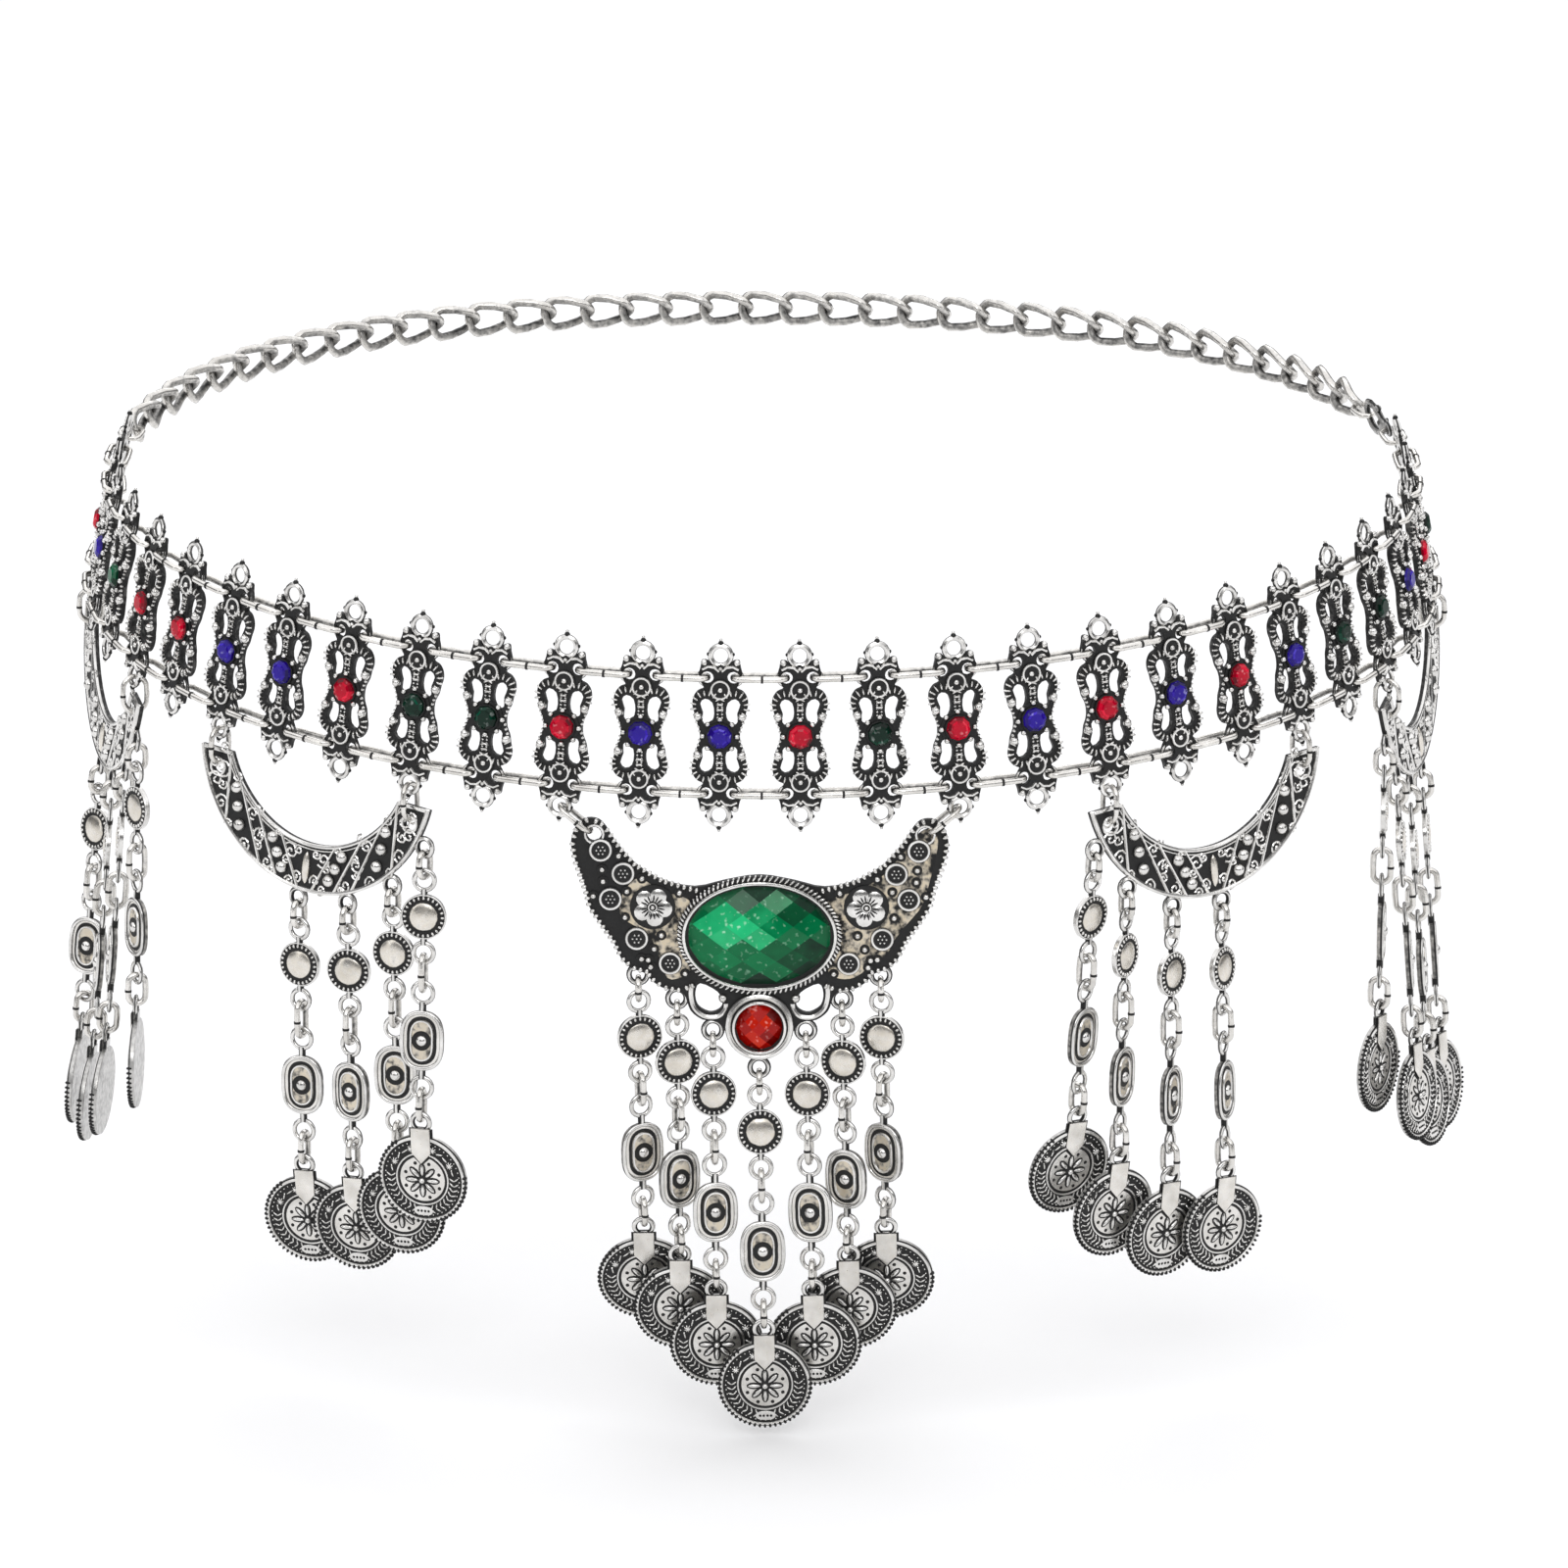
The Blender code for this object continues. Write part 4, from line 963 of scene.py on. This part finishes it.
def coinPattern():
    drop = -strandLook["drop"]
    outer, inner = coinLook["radius"], coinLook["innerRing"]
    parts = [drum(0, 0, 0, outer, 1.0, lambda s: 0.12 if s.z > 0.4 else 0.55, 64, 0.15)]
    parts.append(drum(0, 0, 0.48, inner - 0.75, 0.16, 0.95, 40, warm=0.1))
    parts.append(hoop(0, 0, 0.5, 9.1, 0.42, 1.0, segments=64, sides=6))
    parts.append(hoop(0, 0, 0.5, inner, 0.26, 0.9, segments=44, sides=6))
    beadRow = [(8.2 * math.cos(a), 8.2 * math.sin(a), 0.52, 0) for a in (math.radians(7.5 * i) for i in range(48))]
    parts += repeat(ball(0, 0, 0, 0.23, 0.8, segments=6, rings=4), beadRow)
    notches = [(9.45 * math.sin(a), -9.45 * math.cos(a), 0.5, a + math.pi / 2)
               for a in (math.radians(-144 + 6.5 * i) for i in range(38))]
    parts += repeat(ball(0, 0, 0, 0.62, 0.0, (1, 0.6, 1.1), segments=6, rings=4), notches)
    leaves, stars, bars = [], [], []
    for sx in (1, -1):
        for i in range(coinLook["leaves"]):
            a = math.radians(17 + i * 9.5)
            for reach, lean in ((7.45, 0.6), (6.55, -0.6)):
                turn = (a - math.pi / 2 + lean) if sx == 1 else math.pi - (a - math.pi / 2 + lean)
                leaves.append((sx * reach * math.sin(a), -reach * math.cos(a), 0.5, turn))
    for i in range(12):
        a = math.radians(106 + i * 13.5)
        (stars if i % 3 == 1 else bars).append((6.95 * math.sin(a), -6.95 * math.cos(a), 0.5, a + 0.5 * (i % 2)))
    parts += repeat(ball(0, 0, 0, 0.68, 1.0, (1, 0.34, 0.4), segments=8, rings=4), leaves)
    parts += repeat(ball(0, 0, 0, 0.85, 1.0, (1, 0.3, 0.4), segments=6, rings=4), bars)
    for turn in (0, math.pi / 4, math.pi / 2, math.pi * 3 / 4):
        ray = ball(0, 0, 0, 0.95, 1.0, (1, 0.24, 0.45), turn, 6, 4)
        parts += repeat(ray, stars)
    plaque = sheet(rounded(((-1.7, -6.4), (0, -6.1), (1.7, -6.4), (2.1, -7.3), (1.5, -8.0), (0, -8.2), (-1.5, -8.0),
                            (-2.1, -7.3)), 3), [], 0.5, 0.5, 0.12, 0.9, 0.1)
    parts.append(plaque)
    parts += repeat(ball(0, 0, 0, 0.3, 0.0, (1, 1, 0.4), segments=8, rings=4),
                    [(x, -7.15, 0.76, 0) for x in (-1.15, -0.4, 0.4, 1.15)])
    petals, gaps, pips = [], [], []
    for i in range(8):
        a = math.pi / 4 * i
        petals.append((2.3 * math.cos(a), 2.3 * math.sin(a) - 0.3, 0.62, a))
        gaps.append((2.3 * math.cos(a), 2.3 * math.sin(a) - 0.3, 0.53, a))
        pips.append((4.0 * math.cos(a + 0.39), 4.0 * math.sin(a + 0.39) - 0.3, 0.56, 0))
    parts += repeat(ball(0, 0, 0, 1.75, 0.0, (1, 0.5, 0.1), segments=10, rings=4), gaps)
    parts += repeat(ball(0, 0, 0, 1.35, 1.0, (1, 0.34, 0.3), segments=8, rings=5), petals)
    parts += repeat(ball(0, 0, 0, 0.42, 0.0, (1, 1, 0.4), segments=8, rings=4), pips)
    parts.append(ball(0, -0.3, 0.62, 1.15, 0.0, (1, 1, 0.35)))
    parts.append(ball(0, -0.3, 0.85, 0.65, 1.0))
    for thing in parts:
        thing.data.transform(Matrix.Translation((0, drop, 0)))
    parts.append(sheet(coinLook["strap"], [], 0.7, 0.8, 0.2, 0.97, 0.1, warm=0.2))
    parts.append(sheet([(x * 1.22, y * 1.06) for x, y in coinLook["strap"]], [], 0.24, 0.5, 0.05, 0.0, 0.0))
    parts.append(sheet([(x * 0.85, y) for x, y in ((2.15, -1.2), (2.15, -3.9), (-2.15, -3.9), (-2.15, -1.2))], [], 0.9, 0.0,
                       0.18, 0.9, 0.3))
    parts.append(hoop(0, 0, 0.2, 1.9, 0.56, eyeTone(0, 0, 1.9), 0.9))
    return merge("coin_pattern", parts, [silver], 50)


def facing(azimuth, up):
    angle = math.radians(azimuth)
    along = Vector((math.cos(angle), math.sin(angle), 0))
    return (along - up * along.dot(up)).normalized()


def strandSpots(name, index, loop, made):
    row = dict(zip(strandColumns, strands[name][index]))
    place = pendantFrame(name)
    top = place @ Vector((loop[0] * mm, loop[1] * mm, 0))
    outward = Vector((place.col[2].x, place.col[2].y, 0)).normalized()
    sideways = outward.cross(down)
    foot = down + outward * math.tan(math.radians(row["lean"])) + sideways * math.tan(math.radians(row["swing"]))
    up = -foot.normalized()
    slack = 0 if name == "centre" else strandLook["slack"]
    discY, linkY, bailY = (strandLook[key] - slack * i for i, key in enumerate(("disc", "link", "bail"), 1))

    def at(y, azimuth):
        return frameOf(top + up * y * mm, facing(azimuth, up), up)

    def ring(upper, lower, azimuth):
        side = facing(azimuth, up).cross(up).normalized()
        return ringSpot(top + up * upper * mm, top + up * lower * mm, side, strandLook["ringDepth"],
                        strandLook["wire"], strandLook["pull"])

    plateTurn = math.degrees(math.atan2(place.col[0].y, place.col[0].x))
    coinAt = at(bailY, row["coin"]) @ Matrix.Rotation(math.radians(row["tilt"]), 4, "X")
    return [
        (made["disc"], inMillimetres(at(discY, row["disc"]))),
        (made["link"], inMillimetres(at(linkY, row["link"]))),
        (made["coin"], inMillimetres(coinAt)),
        ring(strandLook["ringInEye"] + 0.3, discY + strandLook["discEye"], plateTurn),
        ring(discY - strandLook["discEye"], linkY + strandLook["linkEye"], (row["disc"] + row["link"]) / 2),
        ring(linkY - strandLook["linkEye"], bailY, (row["link"] + row["coin"]) / 2),
    ]


def layStrands():
    made = {"disc": discPattern(), "link": linkPattern(), "coin": coinPattern()}
    right = [point for point in centreLook["loops"]]
    centreLoops = [(-x, y) for x, y in right] + [point for point in reversed(right) if point[0] > 0]
    for name, row in pendants.items():
        side = row["side"]
        loops = [(side * reach * math.sin(a), moonLook["outer"][1] - reach * math.cos(a)) for a, reach in moonLoops]
        if row["kind"] == "centre":
            loops = centreLoops
        for index, loop in enumerate(loops):
            label = f"{name}_strand_{index + 1}"
            assemble(label + "_dressed", strandSpots(name, index, loop, made), f"{name}_pendant", label)
    print("coin strands in place")
    return list(made.values())


patterns += layStrands()


# the curb chain and its clasp

chainLook = {"pitch": 9.4 * mm, "backDrop": 7 * mm, "endRun": 7 * mm, "claspRun": 8 * mm, "clasp": 13 * mm,
             "wire": 0.98, "halfWidth": 3.4, "twist": 80}


def backPoint(distance):
    halfRow = (belt["bars"] - 1) / 2 * belt["pitch"] + belt["reach"]
    share = (distance - halfRow) / (beltLength - 2 * halfRow)
    height = belt["shoulder"][1] * mm - chainLook["backDrop"] * math.sin(math.pi * share) ** 2
    place = ringFrame(distance)
    return place @ Vector((0, height, 0)), place


def chainLink(length):
    thing = ovalRing(length, chainLook["halfWidth"], chainLook["wire"], False)
    twist = thing.modifiers.new("twist", "SIMPLE_DEFORM")
    twist.deform_method = "TWIST"
    twist.deform_axis = "X"
    twist.angle = math.radians(chainLook["twist"])
    pick([thing])
    bpy.ops.object.modifier_apply(modifier=twist.name)
    return merge("chain_pattern", [thing], [silver], 60)


def layChain():
    halfRow = (belt["bars"] - 1) / 2 * belt["pitch"] + belt["reach"]
    claspEnd = halfRow + chainLook["claspRun"] + chainLook["clasp"] - 3 * mm
    first = claspEnd + chainLook["endRun"]
    last = beltLength - halfRow - chainLook["endRun"]
    count = round((last - first) / chainLook["pitch"])
    pitch = (last - first) / count
    link = chainLink(pitch / mm + 1.75)
    spots = []
    for i in range(count):
        distance = first + pitch * (i + 0.5)
        place, at = backPoint(distance)
        along = (backPoint(distance + mm)[0] - backPoint(distance - mm)[0]).normalized()
        spots.append((link, inMillimetres(frameOf(place, along, at.col[1].xyz))))
    for hold, reach in ((claspEnd, first), (beltLength - halfRow, last)):
        end, at = backPoint(reach)
        spots.append(ringSpot(backPoint(hold)[0], end, at.col[2].xyz, belt["ringDepth"], belt["wire"], -0.1))
    assemble("curb_chain_dressed", spots, "belt", "curb_chain")
    print("chain in place,", count, "links")
    return [link]


def claspPattern():
    hook = [(-3.2, -1.3, 0, 1.1), (-1.2, -2.6, 0, 1.0), (1.4, -3.4, 0, 0.95), (4.0, -3.0, 0, 0.9), (5.8, -1.2, 0, 0.85),
            (6.0, 0.9, 0, 0.8), (4.6, 2.8, 0, 0.8), (2.6, 3.3, 0, 0.75)]
    lever = [(-3.2, 1.0, 0, 1.0), (-1.0, 2.3, 0, 1.1), (1.2, 3.1, 0, 0.9), (2.7, 3.3, 0, 0.7)]

    def patinaAndShade(spot):  # bright on its faces, with painted shade, black, on its rims
        return 0.47 if abs(spot.z) > 0.3 else 0.05

    parts = [wire(hook, 0.85, False, patinaAndShade, 0, 3)]
    parts.append(ball(-3.6, 0, 0, 1.9, patinaAndShade, (1.35, 1.0, 0.62), 0, 16, 10))
    parts.append(wire(lever, 0.72, False, patinaAndShade, 0, 3))
    parts.append(ball(-1.4, 3.4, 0, 0.95, patinaAndShade, (1.2, 0.8, 0.8)))
    parts.append(drum(-3.2, 0.8, 0, 0.5, 2.6, 0.3, 14, 0.1))
    parts.append(hoop(-6.0, 0, 0, 1.35, 0.45, 0.5, segments=18, sides=8))
    return merge("clasp_pattern", parts, [silver], 60)


def layClasp():
    halfRow = (belt["bars"] - 1) / 2 * belt["pitch"] + belt["reach"]
    place, at = backPoint(halfRow + chainLook["claspRun"] + chainLook["clasp"] / 2)
    at = at.copy()
    at.translation = place
    pattern = claspPattern()
    start = barFrame(belt["bars"]) @ Vector((belt["shoulder"][0] * mm, belt["shoulder"][1] * mm, 0))
    ring = ringSpot(start, at @ Vector((-6.0 * mm, 0, 0)), at.col[2].xyz, belt["ringDepth"], belt["wire"], -0.1)
    assemble("lobster_clasp_dressed", [(pattern, inMillimetres(at)), ring], "belt", "lobster_clasp")
    print("clasp in place")
    return [pattern]


patterns += layChain()
patterns += layClasp()
for source in patterns + list(ringPatterns.values()):
    bpy.data.objects.remove(source, do_unlink=True)


# floor, light and camera

stageLook = {"floor": (0.92, 0.92, 0.92, 1), "low": (0.10, 0.10, 0.103, 1), "high": (1.32, 1.32, 1.34, 1),
             "gap": 1.5 * mm}
cameraLook = {"front": (0, -115.7, -23.3), "distance": 1450, "rise": 13.0, "right": 5.0, "up": -9.8, "lens": 163.1,
              "roll": 0.2}


def layStage():
    low = min(corner[2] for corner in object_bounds())
    bpy.ops.mesh.primitive_plane_add(size=30, location=(0, 6, low - stageLook["gap"]))
    floor = settle(bpy.context.object)
    floor.name = "floor"
    finish, tree, shader = newFinish("floor_paper")
    where = node(tree, "ShaderNodeTexCoord", output=3)
    fibre = node(tree, "ShaderNodeTexNoise", None, {"Vector": where, "Scale": 40.0, "Detail": 3.0})
    shade = blendOf(tree, fibre * 0.1, stageLook["floor"], (0.80, 0.80, 0.80, 1))
    feed(tree, shader, Base_Color=shade)
    shader.inputs["Roughness"].default_value = 0.9
    floor.data.materials.append(finish)
    floor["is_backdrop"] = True
    world = bpy.data.worlds.new("studio")
    bpy.context.scene.world = world
    world.use_nodes = True
    sky = world.node_tree
    height = node(sky, "ShaderNodeSeparateXYZ", None, {"Vector": node(sky, "ShaderNodeTexCoord")}, 2)
    rise = node(sky, "ShaderNodeMapRange", {"interpolation_type": "SMOOTHSTEP"},
                {"Value": height, "From Min": 0.2, "From Max": 0.65})
    feed(sky, sky.nodes["Background"], Color=blendOf(sky, rise, stageLook["low"], stageLook["high"]))


def softbox(name, place, target, size, power):
    light = bpy.data.lights.new(name, "AREA")
    light.shape = "RECTANGLE"
    light.size, light.size_y = size
    light.energy = power
    holder = bpy.data.objects.new(name, light)
    bpy.context.collection.objects.link(holder)
    holder.location = place
    holder.rotation_euler = (Vector(target) - Vector(place)).to_track_quat("-Z", "Y").to_euler()
    return holder


def layCamera():
    rise = math.radians(cameraLook["rise"])
    forward = Vector((0, math.cos(rise), -math.sin(rise)))
    up = Vector((0, math.sin(rise), math.cos(rise)))
    aim = Vector(cameraLook["front"]) * mm + Vector((cameraLook["right"] * mm, 0, 0)) + up * cameraLook["up"] * mm
    data = bpy.data.cameras.new("camera")
    data.lens = cameraLook["lens"]
    data.sensor_width = 36
    data.clip_end = 60
    holder = bpy.data.objects.new("camera", data)
    bpy.context.collection.objects.link(holder)
    turn = forward.to_track_quat("-Z", "Y").to_matrix().to_4x4() @ Matrix.Rotation(math.radians(cameraLook["roll"]), 4, "Z")
    holder.matrix_world = Matrix.Translation(aim - forward * cameraLook["distance"] * mm) @ turn
    bpy.context.scene.camera = holder
    bpy.context.scene.view_settings.view_transform = "Standard"


layStage()
softbox("front_light", (0.0, -2.3, 1.35), (0, 0, -0.03), (1.1, 0.7), 9)
softbox("left_light", (-1.7, -1.1, 0.5), (0, -0.05, -0.05), (0.35, 1.1), 2.5)
softbox("right_light", (1.7, -1.0, 0.4), (0, -0.05, -0.05), (0.35, 1.1), 2)
softbox("back_light", (0, 1.9, 1.2), (0, 0.05, -0.02), (1.4, 0.6), 3)
layCamera()
print("floor, light and camera set")
